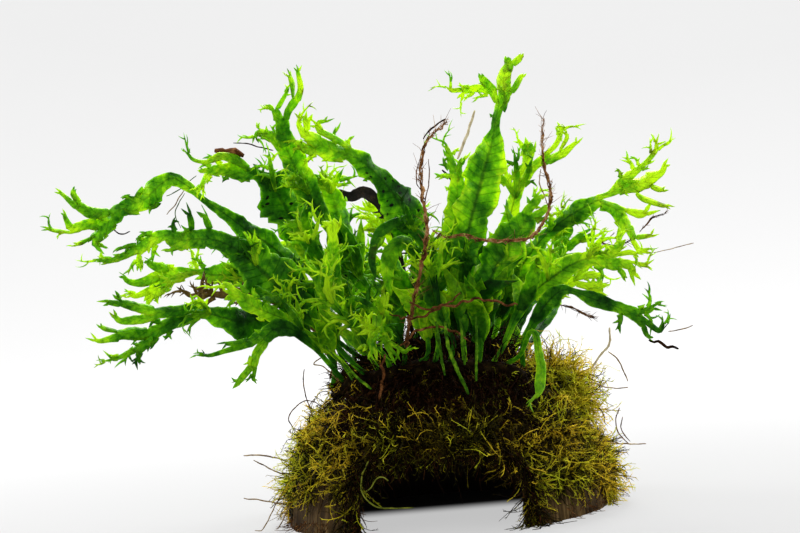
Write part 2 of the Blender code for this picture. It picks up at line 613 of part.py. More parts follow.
def reach_of(stretch, start):
    """The longest way along a stretch and its limbs, as it shows."""
    points, forks = stretch
    length = 0.0
    for point in points:
        length += flat_distance(start, point)
        start = point
    return length + max((reach_of(fork, start) for fork in forks), default=0.0)


def eased(before, points):
    """Adds a place halfway along each long step, on a smooth curve through the places round it."""
    chain = [before, *points]
    more = []
    for step in range(1, len(chain)):
        first, last = chain[step - 1], chain[step]
        if flat_distance(first, last) > LONG_STEP:
            earlier, later = chain[max(step - 2, 0)], chain[min(step + 1, len(chain) - 1)]
            around = zip(earlier, first, last, later)
            more.append(tuple((9 * (b + c) - (a + d)) / 16 for a, b, c, d in around))
        more.append(last)
    return more


class FrondShape:
    """Lofts a forking blade: four-cornered sections (left edge, top rib, right edge, under rib) joined up."""

    def __init__(self, base, base_normal, reach, lean, stretch):
        self.base_back = base.y
        self.reach = reach
        self.lean = math.radians(lean)
        self.shape = bmesh.new()
        start = seen(base)
        self.length = reach_of(stretch, start)
        first = self.section(base, base_normal, PETIOLE_WIDTH, PETIOLE_THICKNESS)
        self.shape.faces.new(first)
        self.grow(stretch, first, base, start, 0.0, 0.0, 0.0, 0)

    def section(self, place, heading, width, thickness, share=0.5):
        side = AHEAD.cross(heading).normalized()
        side = Matrix.Rotation(self.lean, 3, heading.normalized()) @ side
        face = side.cross(heading).normalized()
        half = side * (width / 2 / math.cos(self.lean))
        rib = place + half * (2 * share - 1)
        corners = (place - half, rib + face * (thickness / 2), place + half, rib - face * (thickness / 2))
        return [self.shape.verts.new(corner) for corner in corners]

    def grow(self, stretch, before, place, shown, way, aside, spread, level):
        """Adds a stretch after the corners `before`. One of them is None where it is one limb of a fork.

        `way` is how far along the frond it starts, `aside` how far front to back it is there from the frond's
        own line, and `spread` how much further aside it goes for each millimetre.
        """
        points, forks = stretch
        points = eased((*shown, PETIOLE_WIDTH if level == 0 else points[0][2] or 1.2), points)
        places = []
        for point in points:
            step = flat_distance(shown, point)
            way += step
            aside += spread * step
            shown = point
            back = self.base_back + (self.reach - self.base_back) * way / self.length
            places.append((spot(point[0], point[1], back + aside), way))
        for step, ((here, at), point) in enumerate(zip(places, points)):
            ahead = places[step + 1][0] if step + 1 < len(places) else here
            heading = ahead - (places[step - 1][0] if step else place)
            if point[2] == 0:
                self.close(before, self.shape.verts.new(here))
                return
            last = step + 1 == len(places)
            share = self.fork_share(forks, shown, heading) if last and forks else 0.5
            corners = self.section(here, heading, point[2], self.thickness(level, at, point[2]), share)
            self.join(before, corners)
            before = corners
        left, right = self.sorted_forks(forks, shown, heading)
        near = [before[0], before[1], None, before[3]]
        far = [None, before[1], before[2], before[3]]
        self.grow(left, near, here, shown, way, aside, FORK_SPREAD, level + 1)
        self.grow(right, far, here, shown, way, aside, -FORK_SPREAD, level + 1)

    def thickness(self, level, way, width):
        if level:
            return TIP_THICKNESS
        return PETIOLE_THICKNESS if width < 3.2 and way < self.length * 0.4 else BLADE_THICKNESS

    def sorted_forks(self, forks, shown, heading):
        """The two limbs, the one on the left edge first."""
        across, up = heading.dot(RIGHT), heading.dot(UPWARD)

        def side(fork):
            first = fork[0][0]
            return (first[0] - shown[0]) * up - (first[1] - shown[1]) * across

        return sorted(forks, key=side)

    def fork_share(self, forks, shown, heading):
        left, right = self.sorted_forks(forks, shown, heading)
        widths = [max(fork[0][0][2], 1.2) for fork in (left, right)]
        return min(0.75, max(0.25, widths[0] / sum(widths)))

    def join(self, before, after):
        """Skins one section to the next. Where a fork's limb starts, its inner side closes on the ribs."""
        for step in range(4):
            ahead = (step + 1) % 4
            corners = (before[step], before[ahead], after[ahead], after[step])
            self.shape.faces.new([corner for corner in corners if corner is not None])
        if None in before:
            missing = before.index(None)
            self.shape.faces.new((before[missing - 1], before[(missing + 1) % 4], after[missing]))

    def close(self, before, tip):
        corners = [corner for corner in before if corner is not None]
        for step, corner in enumerate(corners):
            self.shape.faces.new((corner, corners[(step + 1) % len(corners)], tip))


def side_border(side, ring):
    """The wavy border between two moss clumps: the same line for the clump on either side of it."""
    return side + 0.35 * noise.noise(Vector((side % SHELL_SIDES * 1.7, ring * 0.9, 9.0)))


def ring_border(ring, turn, wave):
    return ring + wave * noise.noise(Vector((turn * 0.8, ring * 1.3, 4.0)))


def clear_of_mat(ring):
    """How far a clump's underside stands off the husk, so that it passes over the root mat where there is one."""
    if ring < 3:
        return 2 * GAP + MAT_THICKNESS
    over_edge = GAP + MAT_THICKNESS * 0.35 + GAP
    if ring < 4:
        return over_edge + (2 * GAP + MAT_THICKNESS - over_edge) * (4 - ring)
    return over_edge if ring < 4.2 else max(GAP, over_edge - (ring - 4.2) * 4)


def blanket(name, parts, material):
    """A moss clump: a closed pad that follows the husk at an even gap, thickest and lumpy in its middle."""
    first, last, top, bottom, least, most = MOSS[name]
    pad = bmesh.new()
    thickness = pad.verts.layers.float.new("thickness")
    wide, tall = round((last - first) / MOSS_STEP), round((bottom - top) / MOSS_STEP)
    bmesh.ops.create_grid(pad, x_segments=wide, y_segments=tall, size=0.5)
    for vertex in pad.verts:
        over, down = 0.5 + vertex.co.x, 0.5 - vertex.co.y
        level = top + (bottom - top) * down
        start = side_border(first, level) + MOSS_INSET
        turn = start + (side_border(last, level) - MOSS_INSET - start) * over
        ring = ring_border(top, turn, 0.12) * (1 - down) + ring_border(bottom, turn, 0.45) * down
        swell = max(0.0, math.sin(math.pi * over) * math.sin(math.pi * down)) ** 0.45
        lump = 0.5 + 0.5 * noise.noise(Vector((turn * 1.3, ring * 1.6, 3.0)))
        vertex[thickness] = least + (most - least) * swell * (0.55 + 0.45 * lump)
        vertex.co = dome_point(turn, ring, clear_of_mat(ring))
    sag = Vector((0.0, 0.0, -MOSS_SAG.get(name, 0.0)))
    grown = bmesh.ops.extrude_face_region(pad, geom=pad.faces[:])["geom"]
    for part in grown:
        if isinstance(part, bmesh.types.BMVert):
            part.co += (dome_normal(part.co) + sag).normalized() * part[thickness]
    return add_shape(name, pad, parts, material)


def grow_fronds(parts, leaf, bright_leaf, dead_leaf):
    for name, (row, place, reach, lean, stretch) in FRONDS.items():
        middle, outward = along_rhizome(row, place)
        base = middle + outward * (RHIZOME_RADIUS + GAP)
        blade = FrondShape(base, outward, reach, lean, stretch)
        material = dead_leaf if name in DEAD_FRONDS else bright_leaf if name in BRIGHT_FRONDS else leaf
        add_shape(name, blade.shape, parts, material)


def loose_roots(parts, material):
    for name, (radius, route) in ROOTS.items():
        rooty_tube(name, [spot(*place) for place in route], radius, 0, parts, material)


def centre_footprint(parts, cutters):
    """Moves the whole piece so that the box round it stands centred on the world's origin."""
    bpy.context.view_layer.update()
    graph = bpy.context.evaluated_depsgraph_get()
    corners = []
    for thing in parts.objects:
        evaluated = thing.evaluated_get(graph)
        mesh = evaluated.to_mesh()
        corners += [vertex.co.copy() for vertex in mesh.vertices]
        evaluated.to_mesh_clear()
    middle = [(min(c[axis] for c in corners) + max(c[axis] for c in corners)) / 2 for axis in range(2)]
    lowest = min(corner.z for corner in corners)
    stand = bpy.data.objects.new("whole_piece", None)
    bpy.context.scene.collection.objects.link(stand)
    for thing in [*parts.objects, *cutters.objects]:
        thing.parent = stand
    stand.location = (-middle[0], -middle[1], -lowest)


def main():
    clear_scene()
    parts = new_collection("java_fern_on_coconut_shell")
    cutters = new_collection("cutters")
    husk = principled("coconut_husk", (0.16, 0.10, 0.05), 0.9)
    root_brown = principled("fern_root", (0.07, 0.04, 0.02), 0.85)
    stem = principled("rhizome", (0.10, 0.13, 0.04), 0.6)
    leaf = principled("fern_leaf", (0.10, 0.36, 0.02), 0.45)
    bright_leaf = principled("bright_fern_leaf", (0.30, 0.58, 0.04), 0.45)
    dead_leaf = principled("dead_fern_leaf", (0.12, 0.08, 0.04), 0.7)
    moss = principled("java_moss", (0.25, 0.26, 0.04), 0.9)
    coconut_shell(parts, cutters, husk)
    root_mat(parts, root_brown)
    for name in RHIZOMES:
        rhizome(name, parts, stem)
    grow_fronds(parts, leaf, bright_leaf, dead_leaf)
    loose_roots(parts, root_brown)
    for name in MOSS:
        blanket(name, parts, moss)
    centre_footprint(parts, cutters)


main()
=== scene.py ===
"""How the lace java fern and the java moss on half a coconut look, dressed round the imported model.

Lengths are millimetres from the middle of the coconut's rim, as in the model's own source, and they become
metres in the frame where the meshes are made.
"""
import math
import random

import bpy
import numpy as np
from mathutils import Matrix, Vector, noise


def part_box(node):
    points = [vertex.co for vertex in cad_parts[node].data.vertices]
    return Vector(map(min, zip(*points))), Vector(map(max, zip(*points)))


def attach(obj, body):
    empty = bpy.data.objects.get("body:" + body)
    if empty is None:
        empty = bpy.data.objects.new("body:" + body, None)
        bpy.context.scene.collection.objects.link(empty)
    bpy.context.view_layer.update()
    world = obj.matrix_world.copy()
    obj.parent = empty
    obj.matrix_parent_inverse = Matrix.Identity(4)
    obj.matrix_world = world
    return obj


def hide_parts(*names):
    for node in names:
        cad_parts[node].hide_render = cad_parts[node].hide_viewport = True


MM = 0.001

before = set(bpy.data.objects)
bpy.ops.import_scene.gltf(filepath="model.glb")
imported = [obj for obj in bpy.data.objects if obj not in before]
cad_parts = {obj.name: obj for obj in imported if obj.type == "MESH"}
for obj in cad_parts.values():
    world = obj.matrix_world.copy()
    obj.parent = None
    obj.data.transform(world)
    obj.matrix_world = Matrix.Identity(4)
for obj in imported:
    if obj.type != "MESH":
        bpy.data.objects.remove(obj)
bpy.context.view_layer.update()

# The half coconut and what lies on its crown, with the sizes of the model.
SHELL_RADIUS = 64.4
SHELL_HEIGHT = 61.0
SHELL_WALL = 6.0
GAP = 0.3
MAT_THICKNESS = 2.4
RHIZOME_RADIUS = 3.4
RHIZOME_END = 2.0
RHIZOMES = {
    "front": ((-37, -15), (-27, -22), (-15, -27), (0, -30), (14, -29), (28, -24)),
    "middle": ((-38, 4), (-27, -1), (-16, -4), (-5, -6), (6, -6), (17, -4), (27, 0)),
    "back": ((-31, 23), (-20, 27), (-7, 30), (7, 30), (20, 27), (31, 22)),
}
MOUTH_MIDDLE = -4.2
MOUTH_WIDTH = 61.6
MOUTH_HEIGHT = 32.0
JAMB_HEIGHT = 14.0
MOUTH_DEPTH = (-75.0, -28.0)
# Painted shade on the floor of the cave: how far back the floor starts to be dark, and where it is darkest,
# in metres in the frame.
PAINTED_CAVE_SHADE = (-0.022, 0.004)

# The view that the places are read in: its tilt down, its roll, its distance and its middle. A place is how
# far across and up it shows from the middle of the rim, and how far back it is.
VIEW_TILT = math.radians(1.33)
VIEW_ROLL = math.radians(4.8)
VIEW_DISTANCE = 850.0
VIEW_MIDDLE = (-20.4, 98.0)
VIEW_WIDTH = 320.0

# The fronds' sections.
PETIOLE_WIDTH = 2.0
PETIOLE_THICKNESS = 1.5
BLADE_THICKNESS = 0.62
TIP_THICKNESS = 0.5
FORK_SPREAD = 0.16
BLADE_STEP = 1.2
TIP_STEP = 0.9


def limb(points, *forks):
    """A stretch of frond: (across, up, width) places, then the two limbs that it forks into."""
    return points, forks


def frond(rhizome, place, reach, lean, *stretch):
    """Where a frond starts along its rhizome, how far back its tips are, its blade's lean and its form."""
    return rhizome, place, reach, lean, limb(*stretch)


FRONDS = {
    "low_left_frond": frond(
        "front", 0.0, -34, 18,
        [(-47, 60, 2), (-57, 71, 3), (-66, 76, 6), (-75, 77, 10), (-83, 75.8, 12.5), (-91, 77.5, 9.5),
         (-98, 79.5, 5), (-103, 79.8, 6)],
        limb([(-110, 80.3, 3.6), (-118, 79.5, 3.6)],
             limb([(-126, 82, 3), (-132, 83.5, 2.2)],
                  limb([(-142, 84, 0)]),
                  limb([(-134.5, 88.5, 0)])),
             limb([(-125, 77, 3), (-132, 76.3, 2), (-137, 80, 0)])),
        limb([(-110, 76.3, 4), (-116, 73.5, 4.4), (-120.5, 71, 3.6)],
             limb([(-127, 71.5, 4), (-133, 70.7, 3)],
                  limb([(-138, 73, 1.6), (-142, 75, 0)]),
                  limb([(-140, 68.3, 1.6), (-146.5, 69.5, 0)])),
             limb([(-123, 67, 3.2), (-126, 64, 3)],
                  limb([(-132, 62, 1.6), (-141, 59.8, 0)]),
                  limb([(-125, 61, 1.4), (-124.5, 58.5, 0)])))),
    "hanging_lace_frond": frond(
        "front", 0.075, -60, 15,
        [(-47, 57, 1.8), (-55, 66, 2.4), (-63, 72.5, 5), (-70, 73, 7), (-75, 69, 6)],
        limb([(-80, 67.5, 3)],
             limb([(-87, 67.2, 1.6), (-94, 67, 0)]),
             limb([(-88, 64.8, 1.8), (-96, 62.5, 1.2), (-103, 62.6, 0)])),
        limb([(-77.5, 63, 3), (-79, 58, 2.4)],
             limb([(-83, 54, 2.2), (-87.5, 49, 0)]),
             limb([(-79, 53.5, 1.4), (-77.5, 51, 0)]))),
    "short_bright_frond": frond(
        "front", 0.15, -42, 10,
        [(-44, 60, 1.8), (-56, 70, 2.2), (-66, 76.5, 4), (-73, 79.5, 7), (-80, 82.5, 6), (-85, 86, 4)],
        limb([(-92, 92, 0)]),
        limb([(-91, 84.5, 0)])),
    "broad_left_frond": frond(
        "front", 0.225, -22, 22,
        [(-40, 60, 2), (-53, 74, 4), (-63, 84, 13), (-72.5, 93, 18), (-82, 102, 13), (-90, 107, 8),
         (-97, 109, 6.5)],
        limb([(-97.5, 115.5, 2.2), (-100, 123, 0)]),
        limb([(-104, 109, 6)],
             limb([(-104, 116, 2), (-106, 124, 0)]),
             limb([(-109, 108.7, 6), (-114, 110.3, 3.6), (-120, 108, 4.5), (-125, 104.5, 3.6)],
                  limb([(-130, 102.5, 2.4), (-137, 100, 1.6), (-143.5, 101, 0)]),
                  limb([(-125, 99.5, 2.2), (-124, 95.5, 0)])))),
    "bright_strip_frond": frond(
        "front", 0.3, -36, 8,
        [(-31, 60, 1.8), (-40, 75, 2.4), (-45, 88, 4), (-46.8, 100, 5), (-47.3, 111, 4)],
        limb([(-49.5, 119, 0)]),
        limb([(-44, 119, 0)])),
    "front_left_lace_frond": frond(
        "front", 0.37, -48, 15,
        [(-27, 63, 1.8), (-38, 74, 2.2), (-47, 83, 3), (-51.5, 89, 4)],
        limb([(-54, 95, 2), (-57, 101, 0)]),
        limb([(-50, 97, 2.4), (-50, 104, 0)])),
    "front_hanging_frond": frond(
        "front", 0.44, -56, 14,
        [(-18.8, 64, 1.8), (-24, 74, 2.4), (-29, 79.5, 4), (-30, 73, 4.5)],
        limb([(-32, 67, 3)],
             limb([(-38, 64.5, 0)]),
             limb([(-29.5, 60, 0)])),
        limb([(-25.5, 67.5, 2.6)],
             limb([(-22, 58.5, 0)]),
             limb([(-19, 64, 1.4), (-14, 66, 0)]))),
    "yellow_drooping_frond": frond(
        "front", 0.51, -34, 20,
        [(-9, 64, 1.8), (-11, 84, 2.4), (-13, 101, 4.4), (-18.5, 107.5, 5.5), (-24, 104, 6), (-25.7, 97, 6),
         (-25, 91, 3), (-24, 86, 0)]),
    "pale_centre_frond": frond(
        "front", 0.58, -16, 22,
        [(-5, 67, 1.8), (-6, 75, 2), (-6, 84, 3), (-3.5, 97, 6), (0, 108, 8), (2, 119, 8.5), (2.5, 133, 5)],
        limb([(0.5, 139, 3), (-1, 144, 1.8), (-3.3, 148.8, 0)]),
        limb([(3.2, 137, 2.4), (4.5, 142, 0)])),
    "tall_centre_frond": frond(
        "front", 0.72, -24, -24,
        [(5, 66, 2), (4.5, 73, 2.2), (4, 84, 3.4), (4, 95, 8), (6.5, 110, 13), (10, 124, 15),
         (13.5, 137, 15),
         (16, 146, 11), (17.3, 152, 4), (18, 157.5, 3.2), (19.5, 163, 4)],
        limb([(16.5, 167.8, 2.8)],
             limb([(13, 172.5, 2.4), (11, 175.5, 0)]),
             limb([(11, 169.3, 2.4), (5, 168, 2)],
                  limb([(0.5, 168.3, 1.4), (-2.3, 170.3, 0)]),
                  limb([(3.5, 163, 0)]))),
        limb([(21.3, 168, 4.4)],
             limb([(21.3, 174.5, 4), (23, 179, 3)],
                  limb([(21.8, 182.3, 0)]),
                  limb([(26.8, 181, 2.2), (29, 183.5, 0)])),
             limb([(25.7, 170, 2), (28, 174, 1.6), (30.3, 175.3, 0)]))),
    "drooping_arch_frond": frond(
        "front", 0.65, -46, 12,
        [(1, 68, 1.8), (-4, 78, 2), (-6.5, 91, 2.6), (-9, 103, 3.4), (-13.5, 111, 4.2),
         (-20, 115.2, 4.4), (-26, 113.6, 4.2), (-30, 108.5, 3.6), (-31.5, 101, 3), (-30, 92, 0)]),
    "right_leaning_frond": frond(
        "front", 0.79, -34, -24,
        [(12, 66, 2), (12, 77, 4), (15, 91, 11), (21, 102.5, 14), (27, 112, 12), (31, 118, 7)],
        limb([(34, 124, 2.6), (37, 129.5, 0)]),
        limb([(36, 119.5, 2.6), (39.5, 123, 0)])),
    "second_right_frond": frond(
        "front", 0.86, -18, -16,
        [(21, 66, 2), (27, 80, 4), (33.5, 88, 7), (40.5, 93.5, 8.5), (48, 98.5, 8), (55.5, 101.3, 6),
         (61, 101.3, 7)],
        limb([(66, 104, 3.4)],
             limb([(70, 109, 0)]),
             limb([(71, 103.6, 1.8), (77.5, 102.5, 0)])),
        limb([(66.5, 98.8, 4)],
             limb([(72, 98.3, 3)],
                  limb([(77, 98.6, 1.6), (81.5, 101, 0)]),
                  limb([(73.7, 90, 0)])),
             limb([(68.5, 95.5, 2), (70, 91.8, 0)]))),
    "drooping_right_frond": frond(
        "front", 1.0, -50, -16,
        [(29, 67, 2), (34, 77, 4), (39, 84, 7), (44, 88.2, 4.5), (49, 88, 2.4), (54, 86, 4.4),
         (59.5, 84, 6),
         (65, 82.2, 4.4), (70.5, 80, 4.6), (74.5, 78, 5)],
        limb([(79, 80.5, 2.2), (84.5, 83.8, 0)]),
        limb([(77.5, 74.8, 3.4)],
             limb([(83, 72.2, 1.6), (87.3, 75.8, 0)]),
             limb([(78, 71, 1.6), (81, 68, 0)]))),
    "small_drooping_frond": frond(
        "front", 0.93, -58, -10,
        [(28, 63, 1.6), (31.5, 71.5, 2), (34, 70.5, 2.6), (35, 64, 3), (36, 56.5, 4), (35.5, 50.5, 4),
         (34.3, 45, 0)]),
    "dead_left_frond": frond(
        "middle", 0.0, -4, 10,
        [(-47, 64, 1.6), (-60, 77, 1.8), (-73, 84.5, 2), (-84, 87, 3), (-92, 86.5, 3), (-99, 87.3, 2)],
        limb([(-104, 86.3, 1.4), (-110, 90, 0)]),
        limb([(-101, 82, 0)])),
    "far_left_frond": frond(
        "middle", 0.085, 30, 20,
        [(-50, 76, 2), (-60, 93, 5), (-70, 104.5, 9), (-81, 112, 8.5), (-91, 119.3, 5), (-100, 125.5, 2.6),
         (-106, 130.5, 4.5), (-112, 133.2, 6), (-118, 129, 9), (-122.5, 124.7, 8), (-129, 122.3, 7),
         (-136, 118.3, 7)],
        limb([(-144, 119.5, 3.6), (-149, 122.5, 3.2)],
             limb([(-151, 127, 2), (-150.5, 130.3, 0)]),
             limb([(-154, 125.7, 1.6), (-158.5, 129.5, 0)])),
        limb([(-140.5, 113.3, 6)],
             limb([(-146.5, 114.8, 3.6), (-152, 113, 3)],
                  limb([(-158, 112.3, 1.4), (-164.5, 114, 0)]),
                  limb([(-154, 117, 1.6), (-155.5, 121.3, 0)])),
             limb([(-143, 108.3, 3.4)],
                  limb([(-148, 107.5, 1.6), (-152.5, 106, 0)]),
                  limb([(-138.5, 102.8, 0)])))),
    "lacy_left_frond": frond(
        "middle", 0.17, 10, 18,
        [(-45, 68, 2), (-58, 80, 3), (-69, 87, 6), (-80, 92, 8), (-88, 94.5, 8), (-95, 94.5, 7.5),
         (-101, 95.7, 2.2),
         (-107, 95.3, 5), (-112, 94, 7)],
        limb([(-116, 97.3, 3.2), (-120, 98.8, 2.2), (-122.8, 101.8, 0)]),
        limb([(-116, 91.8, 6)],
             limb([(-124, 91.5, 3), (-129, 92, 1.8), (-133, 95.8, 0)]),
             limb([(-120, 87.3, 4)],
                  limb([(-125.5, 86.3, 2), (-131, 87, 0)]),
                  limb([(-122, 82, 0)])))),
    "narrow_upper_left_frond": frond(
        "middle", 0.25, 4, 24,
        [(-35, 68, 2), (-45, 85, 3), (-54, 100, 8), (-61, 112.5, 14), (-67, 123, 17), (-72, 130, 12),
         (-77, 134.3, 4.6),
         (-81, 135.2, 5)],
        limb([(-86, 140.3, 3), (-92, 142, 3), (-98, 139.8, 1.6), (-103, 140.7, 1.2), (-107.5, 145.5, 0)]),
        limb([(-87, 136, 5.4), (-93, 136.6, 4), (-97.5, 136, 2.6)],
             limb([(-101.5, 136.5, 0)]),
             limb([(-99.5, 131, 1.6), (-102, 126, 0)]))),
    "upper_left_lace_frond": frond(
        "middle", 0.32, -26, 12,
        [(-24, 71, 2), (-40, 82, 3), (-51, 98, 5), (-58, 109, 6)],
        limb([(-62, 114.5, 3), (-67.5, 116, 0)]),
        limb([(-58.5, 117, 2.6), (-57.5, 124, 0)])),
    "top_left_frond": frond(
        "middle", 0.39, -14, 20,
        [(-22, 76, 2), (-33, 89, 2.4), (-43, 105, 3.4), (-52, 119, 6), (-58.5, 129.5, 10),
         (-62.7, 138, 11), (-66, 145.5, 8)],
        limb([(-72, 150, 2.6), (-77, 152.3, 1.8)],
             limb([(-77.7, 156, 0)]),
             limb([(-79.5, 147, 0)])),
        limb([(-67.3, 151.5, 5), (-67.6, 156.5, 4.4)],
             limb([(-70.5, 160.5, 2.4)],
                  limb([(-74.8, 162.7, 0)]),
                  limb([(-67, 165.5, 1.4), (-64.6, 169.8, 0)])),
             limb([(-65.3, 160, 2.4), (-62.3, 164.7, 2.6)],
                  limb([(-63.6, 171, 1.8), (-65.7, 177.5, 0)]),
                  limb([(-60.2, 169, 2), (-61, 174, 1.6), (-62, 179, 0)])))),
    "left_centre_frond": frond(
        "middle", 0.46, 2, 22,
        [(-12, 77, 2), (-25, 87, 3.4), (-40, 95, 8), (-44, 107, 10), (-45.3, 117.5, 10), (-47.5, 126, 8),
         (-51, 131, 5)],
        limb([(-58, 134.3, 0)]),
        limb([(-52, 136.5, 0)])),
    "arching_frond": frond(
        "middle", 0.54, -16, 26,
        [(-6, 73, 2.4), (-8, 89, 5), (-12, 106, 11), (-18, 119, 16), (-24, 128, 11), (-29, 134, 9),
         (-35, 139.5, 8),
         (-41, 143, 6.5)],
        limb([(-46, 149, 2.2), (-51.5, 152, 2)],
             limb([(-53, 155.3, 1.4), (-46.5, 157.3, 0)]),
             limb([(-56.5, 157.5, 0)])),
        limb([(-47, 144.3, 6), (-53, 146.7, 5.5)],
             limb([(-57.5, 151, 3)],
                  limb([(-57.7, 160.5, 0)]),
                  limb([(-60.7, 154.5, 1.6), (-60.3, 160.3, 0)])),
             limb([(-59, 145.7, 2.4), (-62.5, 149, 0)]))),
    "lacy_centre_frond": frond(
        "middle", 0.74, 4, -18,
        [(10, 72, 2.2), (14, 90, 4), (19, 104, 6), (23, 116, 6.5), (25.5, 125, 5.5), (27.5, 132, 5)],
        limb([(30, 138, 3.8), (31.2, 144, 3.4)],
             limb([(26, 150, 0)]),
             limb([(34, 148.5, 0)])),
        limb([(33, 138, 3.2), (38, 141, 3.4)],
             limb([(42, 147, 1.8), (44, 152.5, 1.4), (42.3, 156, 0)]),
             limb([(44, 143, 3)],
                  limb([(46.3, 149.5, 1.4), (45.3, 154, 0)]),
                  limb([(48.5, 146.5, 1.6), (53, 149.8, 0)])))),
    "long_right_frond": frond(
        "middle", 0.87, 0, -22,
        [(18, 73, 2.2), (20, 82, 4), (25, 93, 10), (31, 102, 10.5), (37, 109.5, 4.5), (43, 115, 5),
         (50, 119.8, 7.5),
         (55.5, 122.8, 6.5), (59, 124.5, 5.4)],
        limb([(63.5, 127.2, 2), (67.5, 130, 4.6)],
             limb([(72, 135, 3), (77, 138.7, 1.8), (81.5, 144, 1.6), (83.3, 151.5, 0)]),
             limb([(73, 130.3, 4.6)],
                  limb([(79, 132.3, 4.6)],
                       limb([(84, 135.7, 2.2), (87, 141.5, 0)]),
                       limb([(83, 129, 2), (87.3, 128.6, 0)])),
                  limb([(77, 125.2, 2.2), (84, 122.7, 1.6), (89.8, 121.8, 0)]))),
        limb([(64.5, 121.6, 3.4), (68.5, 118.8, 6)],
             limb([(75, 119.3, 3), (84, 120.6, 0)]),
             limb([(70, 113.8, 4.4)],
                  limb([(73.3, 109.3, 2.8)],
                       limb([(78, 110.2, 1.6), (83.5, 111, 0)]),
                       limb([(75.3, 104.8, 1.8), (80.8, 103.4, 0)])),
                  limb([(67.3, 109.5, 2), (66.3, 104, 0)])))),
    "far_back_left_frond": frond(
        "back", 0.0, 92, 20,
        [(-39, 64, 2), (-47, 76, 4), (-57, 86, 9), (-65, 92, 9), (-71, 95, 5)],
        limb([(-76, 101, 0)]),
        limb([(-77, 94, 0)])),
    "back_left_frond": frond(
        "back", 0.1, 70, 20,
        [(-31, 68, 2), (-40, 84, 4), (-50, 97, 9), (-58, 104, 8), (-65, 107, 4)],
        limb([(-70, 106, 0)]),
        limb([(-67, 102, 0)])),
    "light_lace_frond": frond(
        "back", 0.22, 26, 10,
        [(-25, 72, 2), (-22, 92, 3), (-23, 106, 4), (-26, 115, 5)],
        limb([(-31, 121, 2.8)],
             limb([(-35, 125.3, 0)]),
             limb([(-38.5, 122, 0)])),
        limb([(-31, 115.7, 2.8)],
             limb([(-35, 117.8, 1.8), (-39, 117.5, 0)]),
             limb([(-36.5, 110.5, 0)]))),
    "tall_back_left_frond": frond(
        "back", 0.33, 52, 22,
        [(-27, 72, 2.4), (-34, 90, 5), (-41, 105, 10), (-46, 116, 8), (-49, 122, 4)],
        limb([(-53, 126, 0)]),
        limb([(-47, 128, 0)])),
    "black_dead_frond": frond(
        "back", 0.42, 14, 14,
        [(-16, 74, 1.8), (-19, 96, 2), (-24, 114, 2.6), (-30, 124.5, 4), (-35, 127.5, 5.5),
         (-40, 125.7, 4), (-46, 127, 3.6),
         (-53.5, 127, 0)]),
    "back_centre_left_frond": frond(
        "back", 0.5, 60, 20,
        [(-8, 74, 2.4), (-11, 92, 6), (-13, 106, 10), (-15, 114, 6)],
        limb([(-18, 121, 0)]),
        limb([(-12, 122, 0)])),
    "back_centre_frond": frond(
        "back", 0.585, 84, 20,
        [(3, 72, 2.4), (4, 88, 5), (6, 101, 10), (8, 110, 8), (9, 116, 4)],
        limb([(6, 122, 0)]),
        limb([(12, 122, 0)])),
    "back_centre_right_frond": frond(
        "back", 0.67, 70, -20,
        [(12, 70, 2.4), (15, 86, 5), (19, 97, 10), (22, 105, 8), (25, 111, 4)],
        limb([(24, 117, 0)]),
        limb([(30, 115, 0)])),
    "upper_right_lace_frond": frond(
        "back", 0.76, 26, -12,
        [(22, 74, 2), (31, 88, 3), (39, 99, 4), (45, 106, 5)],
        limb([(47, 112, 2.8), (48, 118, 0)]),
        limb([(50.5, 109, 3)],
             limb([(57, 113.5, 0)]),
             limb([(59, 109.3, 0)]))),
    "back_right_frond": frond(
        "back", 0.84, 74, -22,
        [(24, 66, 2.2), (28, 79, 5), (32, 89, 9), (35, 97, 7), (36, 103, 4)],
        limb([(35, 108, 0)]),
        limb([(40, 106, 0)])),
    "bright_right_lace_frond": frond(
        "back", 0.92, 38, -10,
        [(29, 70, 1.8), (36, 81.5, 2.4), (43, 88.7, 3.6), (49, 92, 4.6)],
        limb([(55.5, 94.6, 2.6), (62.5, 94, 0)]),
        limb([(55, 90, 3)],
             limb([(64, 91, 0)]),
             limb([(63, 86.3, 0)]))),
    "low_back_left_frond": frond(
        "back", 0.165, 98, 15,
        [(-28, 70, 2), (-31, 80, 4), (-35, 88, 8), (-38, 93, 7), (-41, 96, 4)],
        limb([(-46, 97, 0)]),
        limb([(-40, 101, 0)])),
    "low_back_centre_frond": frond(
        "back", 0.545, 104, 12,
        [(1, 72, 2), (0, 81, 4), (-2, 88, 9), (-3.5, 94, 9), (-4.5, 99, 5)],
        limb([(-8, 104, 0)]),
        limb([(-1, 105, 0)])),
    "wide_back_right_frond": frond(
        "back", 0.8, 98, -15,
        [(21, 70, 2), (25, 78, 4), (28.5, 84, 8), (31, 89, 7), (32.5, 92.5, 4)],
        limb([(30.5, 97.5, 0)]),
        limb([(37, 95, 0)])),
    "low_back_right_frond": frond(
        "back", 1.0, 66, -20,
        [(31, 66, 2), (36, 74, 4), (40, 82, 8), (43, 88, 5)],
        limb([(45, 94, 0)]),
        limb([(48, 90, 0)])),
}

